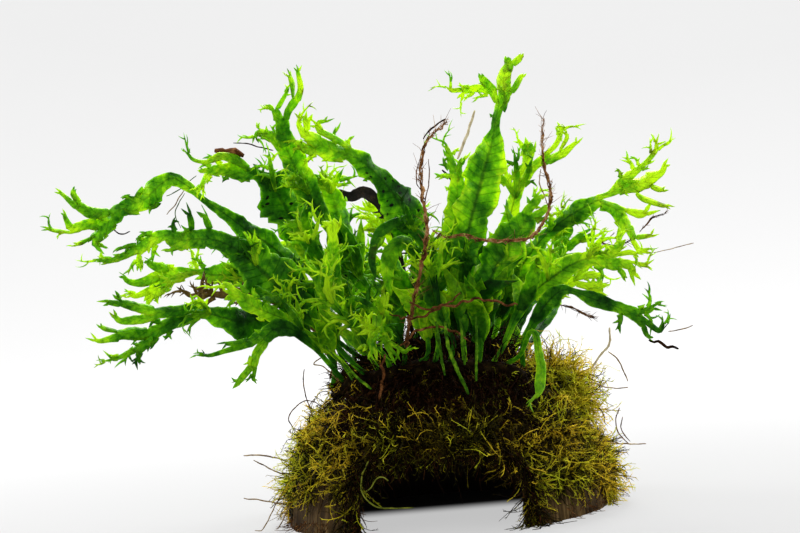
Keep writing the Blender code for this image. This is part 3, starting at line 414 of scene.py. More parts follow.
# Loose roots and dry scraps: (across, up, back) places, and the radius.
ROOTS = {
    "standing_root": (
        1.1,
        [(-17, 57, -22), (-17.5, 70, -36), (-15, 83, -48), (-12, 97, -54), (-9.5, 112, -56),
         (-11.3, 126, -56),
         (-12, 138, -56), (-10, 147.5, -56), (-5.5, 152.5, -55), (-1.5, 156, -54)]),
    "hoop_root": (
        1.0,
        [(-7.3, 112.5, -56), (-2, 109.6, -56), (5, 110.6, -56), (12, 108.6, -56), (24, 108.3, -56),
         (32, 109.7, -55),
         (36.5, 115, -53), (39.5, 122, -51), (39.6, 130, -49), (37.3, 138, -47), (36.5, 148, -46),
         (36.8, 157, -45)]),
    "right_crossing_root": (
        0.7,
        [(65.3, 111.5, -9), (62.5, 108.8, -9), (60, 107.2, -9), (66, 106.4, -9.5), (72, 108.4, -10)]),
    "right_side_root": (0.6, [(75.5, 112, -8), (78, 114.5, -8.5), (80.5, 117.3, -9), (85.3, 119.2, -9)]),
    "dry_stick": (0.7, [(43, 82.9, -24), (47, 81.9, -25), (53, 79.2, -27), (58.5, 77.2, -29)]),
}

# Thin hairs and wisps that stand out of the leaves and the moss: colour, radius, (across, up, back) places.
HAIRS = {
    "left_moss_hair": ("rust", 0.26, [(-58.5, 57, -8), (-59, 53, -8), (-58.5, 48, -9), (-57, 43, -10),
                                      (-55.5, 38, -12)]),
    "left_moss_loop": (
        "rust", 0.24,
        [(-52, 42, -16), (-55, 44, -15), (-59, 44, -14), (-63, 41, -13), (-65, 37.5, -12),
         (-63.5, 34, -12), (-61, 31, -14)]),
    "left_jamb_loop": (
        "green", 0.32,
        [(-33, 20, -56), (-35.5, 14, -58), (-35.6, 8, -59), (-33, 4, -60), (-29, 1.8, -61),
         (-23, 1.2, -62), (-15, 1.4, -62)]),
    "jamb_curl": ("green", 0.28, [(-35, 7, -58), (-32, 10, -60), (-29.5, 13.2, -61), (-27, 13.6, -61),
                                  (-25, 12.4, -61)]),
    "left_straw_a": ("straw", 0.3, [(-63, 19, -10), (-70, 21.5, -12), (-77, 22.5, -13), (-83, 22.4, -14)]),
    "left_straw_b": ("straw", 0.28, [(-62, 14, -10), (-70, 16, -12), (-76, 19, -13), (-79, 20.5, -14)]),
    "left_straw_c": ("straw", 0.28, [(-62, 2, -14), (-70, 3.4, -15), (-77, 4.6, -16), (-83, 5.2, -16)]),
    "left_straw_d": ("straw", 0.24, [(-66, 10, -12), (-71, 1, -13), (-75, -7, -14), (-78, -12, -14)]),
    "left_straw_e": ("straw", 0.24, [(-64, 4, -12), (-67, -3, -13), (-69, -8, -14), (-69.5, -13, -14)]),
    "left_flank_hair": ("straw", 0.26, [(-45, 52, -22), (-51, 58, -21), (-55, 59, -20), (-50, 63, -20),
                                        (-45, 66, -20)]),
    "right_dry_stalk": ("pale", 0.5, [(56, 57, -8), (59, 61.5, -9), (63, 66.5, -10), (63.6, 70, -10),
                                      (63.4, 73.6, -10)]),
    "right_hair_a": ("straw", 0.3, [(62.8, 64, -8), (66.5, 61, -9), (69, 56.5, -9), (70.8, 52, -9)]),
    "right_hair_b": ("straw", 0.26, [(54, 52.4, -12), (60, 50.3, -12), (65, 49.3, -12), (71, 49.6, -12)]),
    "right_curl_a": ("rust", 0.26, [(67.5, 41.5, -6), (66, 37.5, -6), (66.2, 33.5, -6), (68, 30, -6),
                                    (71, 27.2, -6)]),
    "right_curl_b": ("rust", 0.24, [(68.5, 38, -6), (68, 34, -6), (69.4, 30.5, -6), (71.6, 28, -6)]),
    "right_straw": ("straw", 0.26, [(58, 29, -20), (65, 27.5, -18), (71, 27, -17), (78, 27.2, -16)]),
    "right_tip_hair": ("straw", 0.24, [(87, 71.9, -50), (91, 72.6, -51), (97, 74.3, -52)]),
    "right_tip_scrap": ("dark", 0.6, [(79, 68.6, -50), (81.5, 67.8, -50.5), (83, 68.1, -51),
                                      (85.6, 66, -51), (87, 65.7, -51),
                                     (88.6, 65.9, -51), (91, 64.9, -51)]),
    "far_right_hair": ("straw", 0.2, [(81, 103.5, -4), (86, 104.6, -4), (91, 106, -4), (97, 107.4, -4)]),
    "tall_pale_stalk": ("pale", 0.6, [(2.5, 141, -20), (4.5, 146, -20), (7, 152.5, -20),
                                      (9.6, 160.5, -20)]),
    "standing_root_end": ("dark", 0.36, [(-11, 149, -55), (-8.5, 152.6, -55), (-5, 155.2, -55),
                                         (-1.8, 157, -54)]),
    "standing_root_side": (
        "rust", 0.22, [(-10.8, 120, -55), (-10, 126, -55), (-9, 131, -55), (-8.6, 136, -55),
                       (-9, 141, -55)]),
    "standing_root_bristle": ("rust", 0.22, [(-11.5, 128, -56), (-13.6, 131, -56), (-13.8, 136, -56),
                                             (-12.6, 141, -56)]),
    "crossing_root_a": (
        "rust", 0.5, [(-17, 84, -50), (-10, 81.4, -53), (0, 82.8, -55), (10, 84.6, -55), (19, 83.8, -54),
                      (27, 82.4, -52)]),
    "crossing_root_b": (
        "rust", 0.48, [(-20, 66, -46), (-14, 72, -50), (-6, 73.6, -54), (2, 71.5, -55), (7, 68, -54)]),
    "crossing_root_c": (
        "rust", 0.46, [(-24, 79, -44), (-17, 77, -48), (-9, 78.6, -52), (-3, 82, -54), (4, 87, -55)]),
    "leaf_stub": ("dark", 0.5, [(-3.6, 136.8, -14), (-1.5, 134.5, -14), (0.6, 132, -14)]),
    "hoop_bristle": ("straw", 0.22, [(39.5, 121, -51), (37.5, 126, -50), (35.5, 131, -49),
                                     (35.8, 137, -48)]),
    "upper_left_thread": ("dark", 0.3, [(-87, 147.4, 4), (-82, 147.2, 4), (-76, 145.6, 4),
                                        (-71, 144.4, 4)]),
    "left_brown_strand": ("straw", 0.4, [(-52, 148, -2), (-54.6, 143, -3), (-58, 138.5, -4),
                                         (-57, 132, -5), (-54, 127, -6)]),
    "dry_scrap": ("rust", 1.5, [(-94.5, 143.9, 4), (-90.5, 143.4, 4), (-86.5, 143.9, 4), (-83, 143.0, 4)]),
    "white_gap_hair": ("dark", 0.3, [(-23.5, 102.6, -30), (-19, 103.2, -31), (-14, 103.4, -32)]),
    "left_thread_a": ("stalk", 0.24, [(-102, 134.4, 22), (-107, 130, 21), (-111, 127.4, 20),
                                      (-114, 126.2, 20)]),
    "left_thread_b": ("straw", 0.22, [(-105.5, 130.4, 20), (-108.5, 126, 19), (-111, 122, 18),
                                      (-113.8, 118.7, 18)]),
    "left_thread_c": ("stalk", 0.22, [(-106.5, 127.2, 20), (-109.6, 122, 19), (-110.2, 118, 18),
                                      (-108, 113.4, 18)]),
    "far_left_tendril": ("dark", 0.34, [(-136, 114.5, 28), (-133.5, 111.5, 28), (-131, 111, 28),
                                        (-128.5, 112, 28)]),
    "old_petiole_a": ("stalk", 0.6, [(-6, 76, -58), (-4.4, 65, -61), (-2.4, 54.6, -61)]),
    "old_petiole_b": ("stalk", 0.75, [(-2.4, 76, -60), (-1, 66, -63), (2.6, 56, -64), (7.1, 47, -63.5)]),
    "old_petiole_c": ("stalk", 0.6, [(3.6, 77, -60), (4.6, 68, -62), (5.6, 58.6, -62)]),
    "old_petiole_d": ("stalk", 0.6, [(10, 78, -58), (10.2, 65, -61), (10, 52, -61.5)]),
    "old_petiole_e": ("stalk", 0.6, [(-44, 60.5, -46), (-38, 54, -50), (-32, 49, -54)]),
    "old_petiole_f": ("stalk", 0.5, [(-50, 66, -42), (-43, 58, -46), (-39.5, 52.6, -50)]),
    "front_root": ("rust", 0.62, [(-27, 63, -52), (-27.2, 56, -56), (-27.8, 50, -59), (-28.6, 45, -60)]),
}

# How light a frond is, from 0 for the deepest green to 1 for the palest. The others are plain.
TONES = {
    "pale_centre_frond": 0.56,
    "tall_centre_frond": 0.58,
    "right_leaning_frond": 0.46,
    "lacy_centre_frond": 0.64,
    "light_lace_frond": 0.82,
    "bright_right_lace_frond": 0.85,
    "bright_strip_frond": 0.66,
    "short_bright_frond": 0.66,
    "yellow_drooping_frond": 0.42,
    "small_drooping_frond": 0.62,
    "long_right_frond": 0.60,
    "second_right_frond": 0.64,
    "drooping_right_frond": 0.36,
    "left_centre_frond": 0.38,
    "arching_frond": 0.40,
    "narrow_upper_left_frond": 0.42,
    "top_left_frond": 0.45,
    "far_left_frond": 0.52,
    "lacy_left_frond": 0.50,
    "broad_left_frond": 0.42,
    "low_left_frond": 0.42,
    "drooping_arch_frond": 0.3,
}
PLAIN_TONE = 0.38
# How far along a frond its margin starts to grow tines, from 0 at the rhizome to 1 at its tips.
LACE_FROM = {
    "lacy_left_frond": 0.42,
    "lacy_centre_frond": 0.40,
    "light_lace_frond": 0.30,
    "upper_left_lace_frond": 0.40,
    "upper_right_lace_frond": 0.40,
    "bright_right_lace_frond": 0.40,
    "front_left_lace_frond": 0.30,
    "hanging_lace_frond": 0.35,
    "front_hanging_frond": 0.30,
    "tall_centre_frond": 0.72,
    "arching_frond": 0.62,
    "top_left_frond": 0.50,
    "drooping_arch_frond": 0.4,
    "yellow_drooping_frond": 0.35,
    "black_dead_frond": 0.8,
    "dead_left_frond": 0.45,
    "small_drooping_frond": 0.9,
}
PLAIN_LACE_FROM = 0.66
# Tufts of small leaves on the fronds: how far along, how many leaves, their length and width, and their tone.
PLANTLETS = {
    "front_left_lace_frond": ((0.3, 3, 18, 2.4, 0.45), (0.6, 4, 17, 2.2, 0.62)),
    "front_hanging_frond": ((0.2, 3, 24, 6, 0.22), (0.4, 3, 17, 2.4, 0.45), (0.6, 4, 14, 2.2, 0.6)),
    "bright_strip_frond": ((0.12, 3, 24, 6, 0.22), (0.3, 3, 20, 2.4, 0.4)),
    "short_bright_frond": ((0.2, 3, 20, 5.5, 0.24), (0.4, 3, 18, 2.4, 0.5)),
    "broad_left_frond": ((0.12, 3, 28, 7, 0.22), (0.3, 3, 20, 2.6, 0.4), (0.45, 3, 16, 2.4, 0.5)),
    "lacy_left_frond": ((0.2, 3, 26, 6.5, 0.25), (0.5, 4, 18, 2.4, 0.6), (0.68, 4, 15, 2, 0.7)),
    "upper_left_lace_frond": ((0.2, 3, 30, 7, 0.22), (0.45, 4, 22, 2.6, 0.45), (0.75, 4, 17, 2.2, 0.65)),
    "left_centre_frond": ((0.15, 4, 30, 7, 0.2), (0.5, 3, 20, 2.6, 0.42), (0.85, 4, 15, 2.2, 0.6)),
    "top_left_frond": ((0.25, 4, 28, 6.5, 0.22), (0.55, 4, 19, 2.6, 0.45)),
    "narrow_upper_left_frond": ((0.25, 4, 28, 6.5, 0.22), (0.62, 3, 17, 2.6, 0.45)),
    "light_lace_frond": ((0.12, 3, 32, 7, 0.22), (0.4, 4, 20, 2.4, 0.7), (0.7, 4, 17, 2.2, 0.8)),
    "arching_frond": ((0.08, 4, 34, 8, 0.2), (0.2, 4, 26, 6, 0.25)),
    "drooping_arch_frond": ((0.15, 3, 28, 7, 0.2), (0.35, 3, 20, 2.6, 0.35), (0.6, 3, 14, 2, 0.4)),
    "yellow_drooping_frond": ((0.15, 3, 26, 7, 0.22), (0.5, 3, 16, 2.2, 0.45)),
    "pale_centre_frond": ((0.12, 4, 28, 7.5, 0.22), (0.3, 3, 22, 2.8, 0.4)),
    "tall_centre_frond": ((0.08, 4, 32, 8, 0.2), (0.16, 3, 26, 7, 0.28), (0.24, 3, 20, 2.6, 0.36)),
    "right_leaning_frond": ((0.1, 4, 32, 8, 0.2), (0.22, 3, 26, 6.5, 0.3), (0.5, 3, 18, 2.6, 0.5)),
    "lacy_centre_frond": ((0.12, 4, 34, 8, 0.22), (0.3, 3, 24, 5.5, 0.35), (0.6, 4, 19, 2.6, 0.62)),
    "upper_right_lace_frond": ((0.15, 4, 32, 7, 0.22), (0.35, 4, 22, 2.6, 0.5), (0.7, 4, 19, 2.4, 0.7)),
    "long_right_frond": ((0.08, 3, 30, 7, 0.22), (0.2, 3, 24, 5.5, 0.32), (0.45, 3, 18, 2.6, 0.5)),
    "second_right_frond": ((0.25, 3, 22, 5.5, 0.3), (0.45, 3, 18, 2.6, 0.45), (0.66, 3, 14, 2.2, 0.6)),
    "bright_right_lace_frond": ((0.35, 4, 19, 2.4, 0.8), (0.7, 4, 16, 2.2, 0.85)),
    "low_left_frond": ((0.2, 3, 20, 5, 0.25), (0.55, 3, 14, 2.4, 0.5)),
    "tall_back_left_frond": ((0.1, 4, 34, 8, 0.22), (0.4, 4, 22, 3, 0.4)),
    "back_left_frond": ((0.15, 3, 30, 7, 0.22),),
    "back_centre_left_frond": ((0.08, 4, 36, 9, 0.2), (0.3, 4, 28, 6, 0.3)),
    "back_centre_frond": ((0.08, 4, 36, 9, 0.2), (0.3, 4, 28, 6, 0.3)),
    "back_centre_right_frond": ((0.08, 4, 36, 9, 0.2), (0.3, 4, 28, 6, 0.3)),
    "back_right_frond": ((0.12, 3, 28, 7, 0.22),),
    "black_dead_frond": ((0.62, 3, 8, 2, 0.3),),
    "dead_left_frond": ((0.62, 4, 9, 2.4, 0.3), (0.8, 5, 10, 1.6, 0.3)),
}
# The fronds whose wide blades bear rows of dark spots.
SPOTTED_FRONDS = {
    "arching_frond",
    "left_centre_frond",
    "narrow_upper_left_frond",
}

# Each moss clump: how many strands, how long they are, how deep it is, and the share that is golden.
MOSS = {
    # The moss over the mouth is nearly all dull: dull olive moss, darkened further as painted shade on the
    # front of the crown.
    "moss_over_mouth": (1350, 13.0, 12.0, 0.06),
    "moss_front_left": (760, 10.0, 3.0, 0.40),
    "moss_left": (860, 7.5, 3.2, 0.78),
    "moss_back_left": (500, 12.0, 4.0, 0.55),
    "moss_back": (500, 12.0, 4.0, 0.50),
    "moss_back_right": (320, 12.0, 4.0, 0.55),
    "moss_front_right": (920, 11.0, 4.0, 0.38),
    "moss_right": (940, 8.0, 4.8, 0.62),
    "moss_shoulder": (1350, 14.0, 7.0, 0.80),
}
# How high each clump's dense inside begins, over a husk that is bare but for single strands lower down.
BARE_BELOW = {
    "moss_front_left": 22.0,
    "moss_front_right": 15.0,
    "moss_left": 8.0,
    "moss_right": 8.0,
}
# The moss. It grows in patches, so that this many times as many places are tried as are taken.
PATCHINESS = 2.2
STEM_RINGS = 6
STEM_RADIUS = 0.20
STEM_TAPER = 0.55
STEM_LEAVES = 6
LEAF_WIDTH = 0.18
LEAF_LENGTH = (1.0, 2.4)
LEAF_FLOOR = 0.3
STRAY_SHARE = 0.07
GOLDEN = 0.80
DULL = 0.16
# The strands of moss on the crown: how many, and the share of those at the back that grows in front instead.
CROWN_STRANDS = 900
BROUGHT_FORWARD = 0.25
CROWN_SEED = 21
# The clump that sends up loose strands, from how high, and how steeply.
RISING = "moss_shoulder"
RISE_FROM = 44
RISE = (-0.1, 0.0, 0.9)
# The clump that also hangs strands round the mouth's edge, and how far to the front the moss may stand out.
FRINGED = "moss_over_mouth"
FRONT_LIMIT = -72.0
STRAND_FLOOR = 0.4
BED_SINK = 0.62
FIRST_MOSS_SEED = 11

# How the fronds end in lace. A tip of some length forks once more, into a twig that turns aside.
TWIG_LENGTH = 2.2
TWIG_SPLIT = (0.32, 0.5)
TWIG_SHARE = (0.55, 0.95)
TWIG_TURN = (28, 62)
TWIG_WIDTH = 0.9
# Tines on the margins: the rows they are skinned from, the lengths that give them more rows and their own
# tines, how they hook and lean, how far apart they are on limbs and on the blade, and their place across it.
SPIKE_ROWS = 4
LONG_SPIKE = 4.5
SPIKE_WITH_TINE = 3.4
SPIKE_HOOK = 0.28
SPIKE_LEAN = (14, 50)
LIMB_WAIT = (2.4, 7.0)
BLADE_WAIT = (4.0, 13.0)
MARGIN_RUN = 0.88
# How deep a petiole's foot sits in its rhizome.
FOOT_DEPTH = 0.4
# Leaflets: wider ones have smooth margins and more cells across them, and grow straighter.
LEAFLET_STEP = 1.6
SMOOTH_LEAFLET = 3.6
BROAD_LEAFLET = 5.0
# Blades: how many cells are across them, how much fuller the limbs are than their places say, and how the
# margins are lobed and ruffled, which narrow stretches are less.
CELLS = 6
BROAD_CELLS = 10
BROAD_BLADE = 5
LIMB_FULLNESS = 0.25
LEAST_WIDTH = 0.35
LOBE_DEPTH = 0.30
LOBED_WIDTH = 4
RUFFLE = 0.24
SMOOTH_WIDTH = 2.5
RUFFLED_WIDTH = 7.5

# The roots on the crown: how many lie on it, hang over the front, hang from the mouth's edge, and stand up.
ROOT_RINGS = 10
ROOT_SEED = 5
MAT_ROOTS = 400
CURTAIN_ROOTS = 1040
FRINGE_ROOTS = 260
STANDING_ROOTS = 900
# The torn fibres of the husk: how many are round the rim and along the mouth's edge.
FIBRE_RINGS = 5
FIBRE_SEED = 8
RIM_FIBRES = 520
MOUTH_FIBRES = 320
# Loose roots have bristles, so many to the millimetre, and the looping ones are lighter.
BRISTLES = 1.2
LOOPING_ROOTS = {"standing_root", "hoop_root"}
# Hairs keep off the floor, and the stout rusty ones are crooked.
HAIR_FLOOR = 1.0
STOUT_HAIR = 0.45
CROOKED = 1.3
NEARLY_STRAIGHT = 0.3

# How finely the husk is drawn, and the sharpest angle that is still shaded smooth.
HUSK_TURNS = 208
HUSK_RINGS = 40
SMOOTH_ANGLE = math.radians(50)
ARCH_STEPS = 60

# Wiry strands: the material's name, and its colour where it is dark, middling and pale.
STRAND_COLOURS = {
    "dark": ("dark_root", (0.0010, 0.0005, 0.0002), (0.0075, 0.0028, 0.0009), (0.060, 0.022, 0.006)),
    "bark": ("bark_root", (0.014, 0.006, 0.002), (0.085, 0.034, 0.010), (0.280, 0.140, 0.045)),
    "rust": ("rust_root", (0.016, 0.006, 0.002), (0.090, 0.032, 0.009), (0.26, 0.12, 0.040)),
    "loop": ("loop_root", (0.035, 0.013, 0.004), (0.200, 0.085, 0.027), (0.520, 0.320, 0.140)),
    "straw": ("straw", (0.08, 0.045, 0.015), (0.22, 0.14, 0.05), (0.44, 0.33, 0.15)),
    "pale": ("pale_stalk", (0.36, 0.29, 0.17), (0.55, 0.47, 0.30), (0.70, 0.64, 0.46)),
    "stalk": ("green_stalk", (0.006, 0.030, 0.001), (0.035, 0.110, 0.003), (0.16, 0.30, 0.010)),
    "green": ("green_strand", (0.05, 0.06, 0.008), (0.13, 0.15, 0.015), (0.28, 0.29, 0.04)),
    "stem": ("creeping_stem", (0.0015, 0.0009, 0.0004), (0.006, 0.0035, 0.0011), (0.026, 0.017, 0.005)),
}
DEAD_COLOURS = {
    "black_dead_frond": ("black_leaf", (0.005, 0.004, 0.006), (0.020, 0.014, 0.013), (0.10, 0.060, 0.025)),
    "dead_left_frond": ("withered_leaf", (0.030, 0.018, 0.004), (0.16, 0.095, 0.020), (0.42, 0.30, 0.060)),
}
# From the deepest green or the dullest moss to the palest.
LEAF_GREENS = (
    (0.0, (0.0012, 0.015, 0.0004)),
    (0.28, (0.0060, 0.062, 0.0007)),
    (0.52, (0.036, 0.185, 0.0015)),
    (0.76, (0.160, 0.420, 0.0030)),
    (1.0, (0.400, 0.630, 0.012)),
)
MOSS_GREENS = (
    (0.0, (0.0060, 0.0040, 0.0006)),
    (0.2, (0.0400, 0.0290, 0.0018)),
    (0.45, (0.2100, 0.1600, 0.0060)),
    (0.7, (0.5400, 0.4200, 0.0200)),
    (1.0, (0.7500, 0.6200, 0.0500)),
)
HUSK_BROWNS = (
    (0.25, (0.006, 0.003, 0.001)),
    (0.45, (0.034, 0.019, 0.006)),
    (0.6, (0.090, 0.054, 0.018)),
    (0.8, (0.200, 0.130, 0.050)),
)
# Painted shade: the shell's inside is coloured near black, for the shade in its hollow.
PAINTED_HOLLOW_SHADE = (0.012, 0.008, 0.006, 1.0)
VEIN_COLOUR = (0.003, 0.030, 0.001, 1.0)
RIB_COLOUR = (0.004, 0.030, 0.001, 1.0)
SPOT_COLOUR = (0.004, 0.007, 0.003, 1.0)
BROWNED_COLOUR = (0.040, 0.024, 0.006, 1.0)
# What light that comes through a leaf or a strand is multiplied by, and the share of it.
LEAF_GLOW = (2.1, 1.75, 0.35, 1.0)
LEAF_GLOW_SHARE = 0.46
MOSS_GLOW = (1.6, 1.5, 0.6, 1.0)
MOSS_GLOW_SHARE = 0.42
GREENER = (0.62, 1.2, 0.5, 1.0)

# The studio, in metres: the floor's radius, the bend's, the wall's top, and how fine the sweep is.
FLOOR_RADIUS = 1.1
BEND_RADIUS = 0.5
BEND_STEPS = 12
WALL_TOP = 2.2
SWEEP_SIDES = 96
# How brightly the light tent glows, from near the plant to far off, and how pale it is.
TENT_NEAR = (0.1, 0.53)
TENT_FAR = (0.9, 0.72)
TENT_GREY = 0.14
# The radii between which the cave's floor, dark with painted shade, gives way to the lit one.
CAVE_EDGE = (0.0588, 0.064)
# Soft lights: the place, the size and the power, all aimed at the plant's middle.
LIGHTS = {
    "over_and_behind": ((0.15, 0.75, 0.95), 0.6, 22.0),
    "behind_left": ((-0.85, 0.6, 0.6), 0.5, 10.0),
    "behind_right": ((0.95, 0.45, 0.55), 0.5, 10.0),
    "front_fill": ((-0.5, -1.0, 0.9), 0.7, 3.0),
}
PLANT_MIDDLE = Vector((0.0, 0.0, 0.09))
SKY_STRENGTH = 0.72
WHITE = (1.0, 1.0, 1.0, 1.0)
SENSOR_WIDTH = 36.0

DOME = np.array([SHELL_RADIUS, SHELL_RADIUS, SHELL_HEIGHT])
DOWN = np.array([0.0, 0.0, -1.0])

# Where the rim's middle is in the frame, from the shell's own box: its back is whole, its front is cut away.
shell_low, shell_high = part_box("coconut_shell")
RIM_MIDDLE = np.array([
    (shell_low.x + shell_high.x) / 2 / MM,
    shell_high.y / MM - SHELL_RADIUS,
    shell_low.z / MM,
])


def in_frame(places):
    return (np.asarray(places, float) + RIM_MIDDLE) * MM


def dome_normal(place):
    flat, steep = SHELL_RADIUS**2, SHELL_HEIGHT**2
    return Vector((place[0] / flat, place[1] / flat, place[2] / steep)).normalized()


def crown_point(x, y):
    """The place on the husk's outside over a place on the ground."""
    spread = (x * x + y * y) / (SHELL_RADIUS * SHELL_RADIUS)
    return Vector((x, y, SHELL_HEIGHT * math.sqrt(1.0 - spread)))


def along_rhizome(name, place):
    """The place on a rhizome's middle line, from 0 at its left to 1 at its right, and which way is out."""
    route = RHIZOMES[name]
    step = min(int(place * (len(route) - 1)), len(route) - 2)
    part = place * (len(route) - 1) - step
    x = route[step][0] + (route[step + 1][0] - route[step][0]) * part
    y = route[step][1] + (route[step + 1][1] - route[step][1]) * part
    crown = crown_point(x, y)
    outward = dome_normal(crown)
    return crown + outward * (GAP + MAT_THICKNESS + GAP + RHIZOME_RADIUS), outward


def view_axes():
    ahead = Vector((0.0, math.cos(VIEW_TILT), -math.sin(VIEW_TILT)))
    steep = Vector((0.0, math.sin(VIEW_TILT), math.cos(VIEW_TILT)))
    level = Vector((1.0, 0.0, 0.0))
    right = level * math.cos(VIEW_ROLL) - steep * math.sin(VIEW_ROLL)
    upward = level * math.sin(VIEW_ROLL) + steep * math.cos(VIEW_ROLL)
    return right, upward, ahead


def sight(across, up):
    """The line of sight to what shows at (across, up), as long as the view's distance straight ahead."""
    return AHEAD * VIEW_DISTANCE + RIGHT * (across - VIEW_MIDDLE[0]) + UPWARD * (up - VIEW_MIDDLE[1])


RIGHT, UPWARD, AHEAD = view_axes()
EYE = -sight(0.0, 0.0)


def spot(across, up, back):
    """The place that shows at (across, up) and lies `back` behind the middle of the rim."""
    ray = sight(across, up)
    return EYE + ray * ((back - EYE.y) / ray.y)


def seen(place):
    """Where a place shows: (across, up)."""
    ray = place - EYE
    scale = VIEW_DISTANCE / ray.dot(AHEAD)
    return VIEW_MIDDLE[0] + ray.dot(RIGHT) * scale, VIEW_MIDDLE[1] + ray.dot(UPWARD) * scale


def new_object(name, data):
    added = bpy.data.objects.new(name, data)
    bpy.context.scene.collection.objects.link(added)
    return added


def modified(holder):
    """A mesh of what an object's modifiers make of it."""
    graph = bpy.context.evaluated_depsgraph_get()
    return bpy.data.meshes.new_from_object(holder.evaluated_get(graph))


def mesh_piece(name, places, faces, material, stands_for=(), layers=None):
    """A piece from places in millimetres, with UV layers given as a pair of numbers for each place."""
    mesh = bpy.data.meshes.new(name)
    mesh.from_pydata(in_frame(places).tolist(), [], faces)
    mesh.shade_smooth()
    corners = np.empty(len(mesh.loops), np.int32)
    mesh.loops.foreach_get("vertex_index", corners)
    for layer, values in (layers or {}).items():
        pairs = np.asarray(values, np.float32)[corners]
        mesh.uv_layers.new(name=layer).data.foreach_set("uv", pairs.ravel())
    mesh.materials.append(material)
    piece = new_object(name, mesh)
    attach(piece, "root")
    if stands_for:
        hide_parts(*stands_for)
    return piece


def quads(first, rings, sides):
    """The corners of each cell between closed rings of places, which follow one another."""
    for ring in range(rings - 1):
        low = first + ring * sides
        for side in range(sides):
            ahead = (side + 1) % sides
            yield [low + side, low + ahead, low + sides + ahead, low + sides + side]


def shifted(faces, shift):
    return [[corner + shift for corner in face] for face in faces]


# Materials

def new_tree(name):
    """A new material and its empty node tree."""
    material = bpy.data.materials.new(name)
    material.use_nodes = True
    tree = material.node_tree
    tree.nodes.clear()
    return material, tree


def node(tree, kind, inputs=None, **settings):
    """Adds a shader node, with numbers set on its inputs or other nodes' outputs linked to them."""
    added = tree.nodes.new("ShaderNode" + kind)
    for key, value in settings.items():
        setattr(added, key, value)
    for key, value in (inputs or {}).items():
        if isinstance(value, bpy.types.NodeSocket):
            tree.links.new(value, added.inputs[key])
        else:
            added.inputs[key].default_value = value
    return added


def maths(tree, operation, first, second=0.0, third=0.0):
    return node(tree, "Math", {0: first, 1: second, 2: third}, operation=operation).outputs[0]


def product(tree, first, *others):
    """The product of two or more values."""
    for other in others:
        first = maths(tree, "MULTIPLY", first, other)
    return first


def swayed(tree, value, noise_value, amount):
    """A value moved up or down by noise, by half the amount at most."""
    return maths(tree, "MULTIPLY_ADD", maths(tree, "SUBTRACT", noise_value, 0.5), amount, value)


def mixed(tree, factor, first, second, blend="MIX"):
    inputs = {0: factor, 6: first, 7: second}
    return node(tree, "Mix", inputs, data_type="RGBA", blend_type=blend).outputs[2]


def ramp(tree, factor, stops):
    """A colour ramp through (place, colour) stops."""
    added = node(tree, "ValToRGB", {0: factor})
    elements = added.color_ramp.elements
    while len(elements) < len(stops):
        elements.new(0.5)
    for element, (place, colour) in zip(elements, stops):
        element.position = place
        element.color = (*colour, 1.0)
    return added.outputs[0]


def between(tree, value, low, high, first=0.0, last=1.0):
    """Eases a value from first at low to last at high."""
    inputs = {"Value": value, "From Min": low, "From Max": high, "To Min": first, "To Max": last}
    return node(tree, "MapRange", inputs, interpolation_type="SMOOTHSTEP").outputs[0]


def speckle(tree, scale, detail=3.0, roughness=0.55):
    """Noise in the frame's own space, with `scale` features to the metre."""
    place = node(tree, "TexCoord").outputs["Object"]
    inputs = {"Vector": place, "Scale": scale, "Detail": detail, "Roughness": roughness}
    return node(tree, "TexNoise", inputs).outputs["Fac"]


def uv_parts(tree, layer):
    """The two numbers that a UV layer gives."""
    return node(tree, "SeparateXYZ", {0: node(tree, "UVMap", uv_map=layer).outputs[0]}).outputs


def finish_material(tree, colour, through, share, roughness, bump=None, bump_height=0.0004, specular=0.5):
    """Joins a surface with the light that comes through it."""
    inputs = {"Base Color": colour, "Roughness": roughness, "Specular IOR Level": specular}
    if bump is not None:
        raised = node(tree, "Bump", {"Height": bump, "Distance": bump_height, "Strength": 1.0}).outputs[0]
        inputs["Normal"] = raised
    surface = node(tree, "BsdfPrincipled", inputs).outputs[0]
    if share:
        glow = node(tree, "BsdfTranslucent", {"Color": through}).outputs[0]
        surface = node(tree, "MixShader", {0: share, 1: surface, 2: glow}).outputs[0]
    node(tree, "OutputMaterial", {"Surface": surface})


def leaf_spots(tree, along, across, aside, far):
    """Where a wide blade bears rows of round spots: clear of its rib and its edge, and not near its tips."""
    cells = node(tree, "CombineXYZ", {0: product(tree, along, 0.40), 1: product(tree, across, 5.0)})
    spots = node(tree, "TexVoronoi", {"Vector": cells.outputs[0], "Scale": 1.0, "Randomness": 0.55})
    round_spot = between(tree, spots.outputs["Distance"], 0.22, 0.32, 1.0, 0.0)
    kept = between(tree, speckle(tree, 60.0, 1.0), 0.30, 0.36)
    clear_of_rib = between(tree, aside, 0.16, 0.26)
    inside_edge = between(tree, aside, 0.76, 0.88, 1.0, 0.0)
    low_down = between(tree, far, 0.62, 0.75, 1.0, 0.0)
    return product(tree, round_spot, kept, clear_of_rib, inside_edge, low_down)


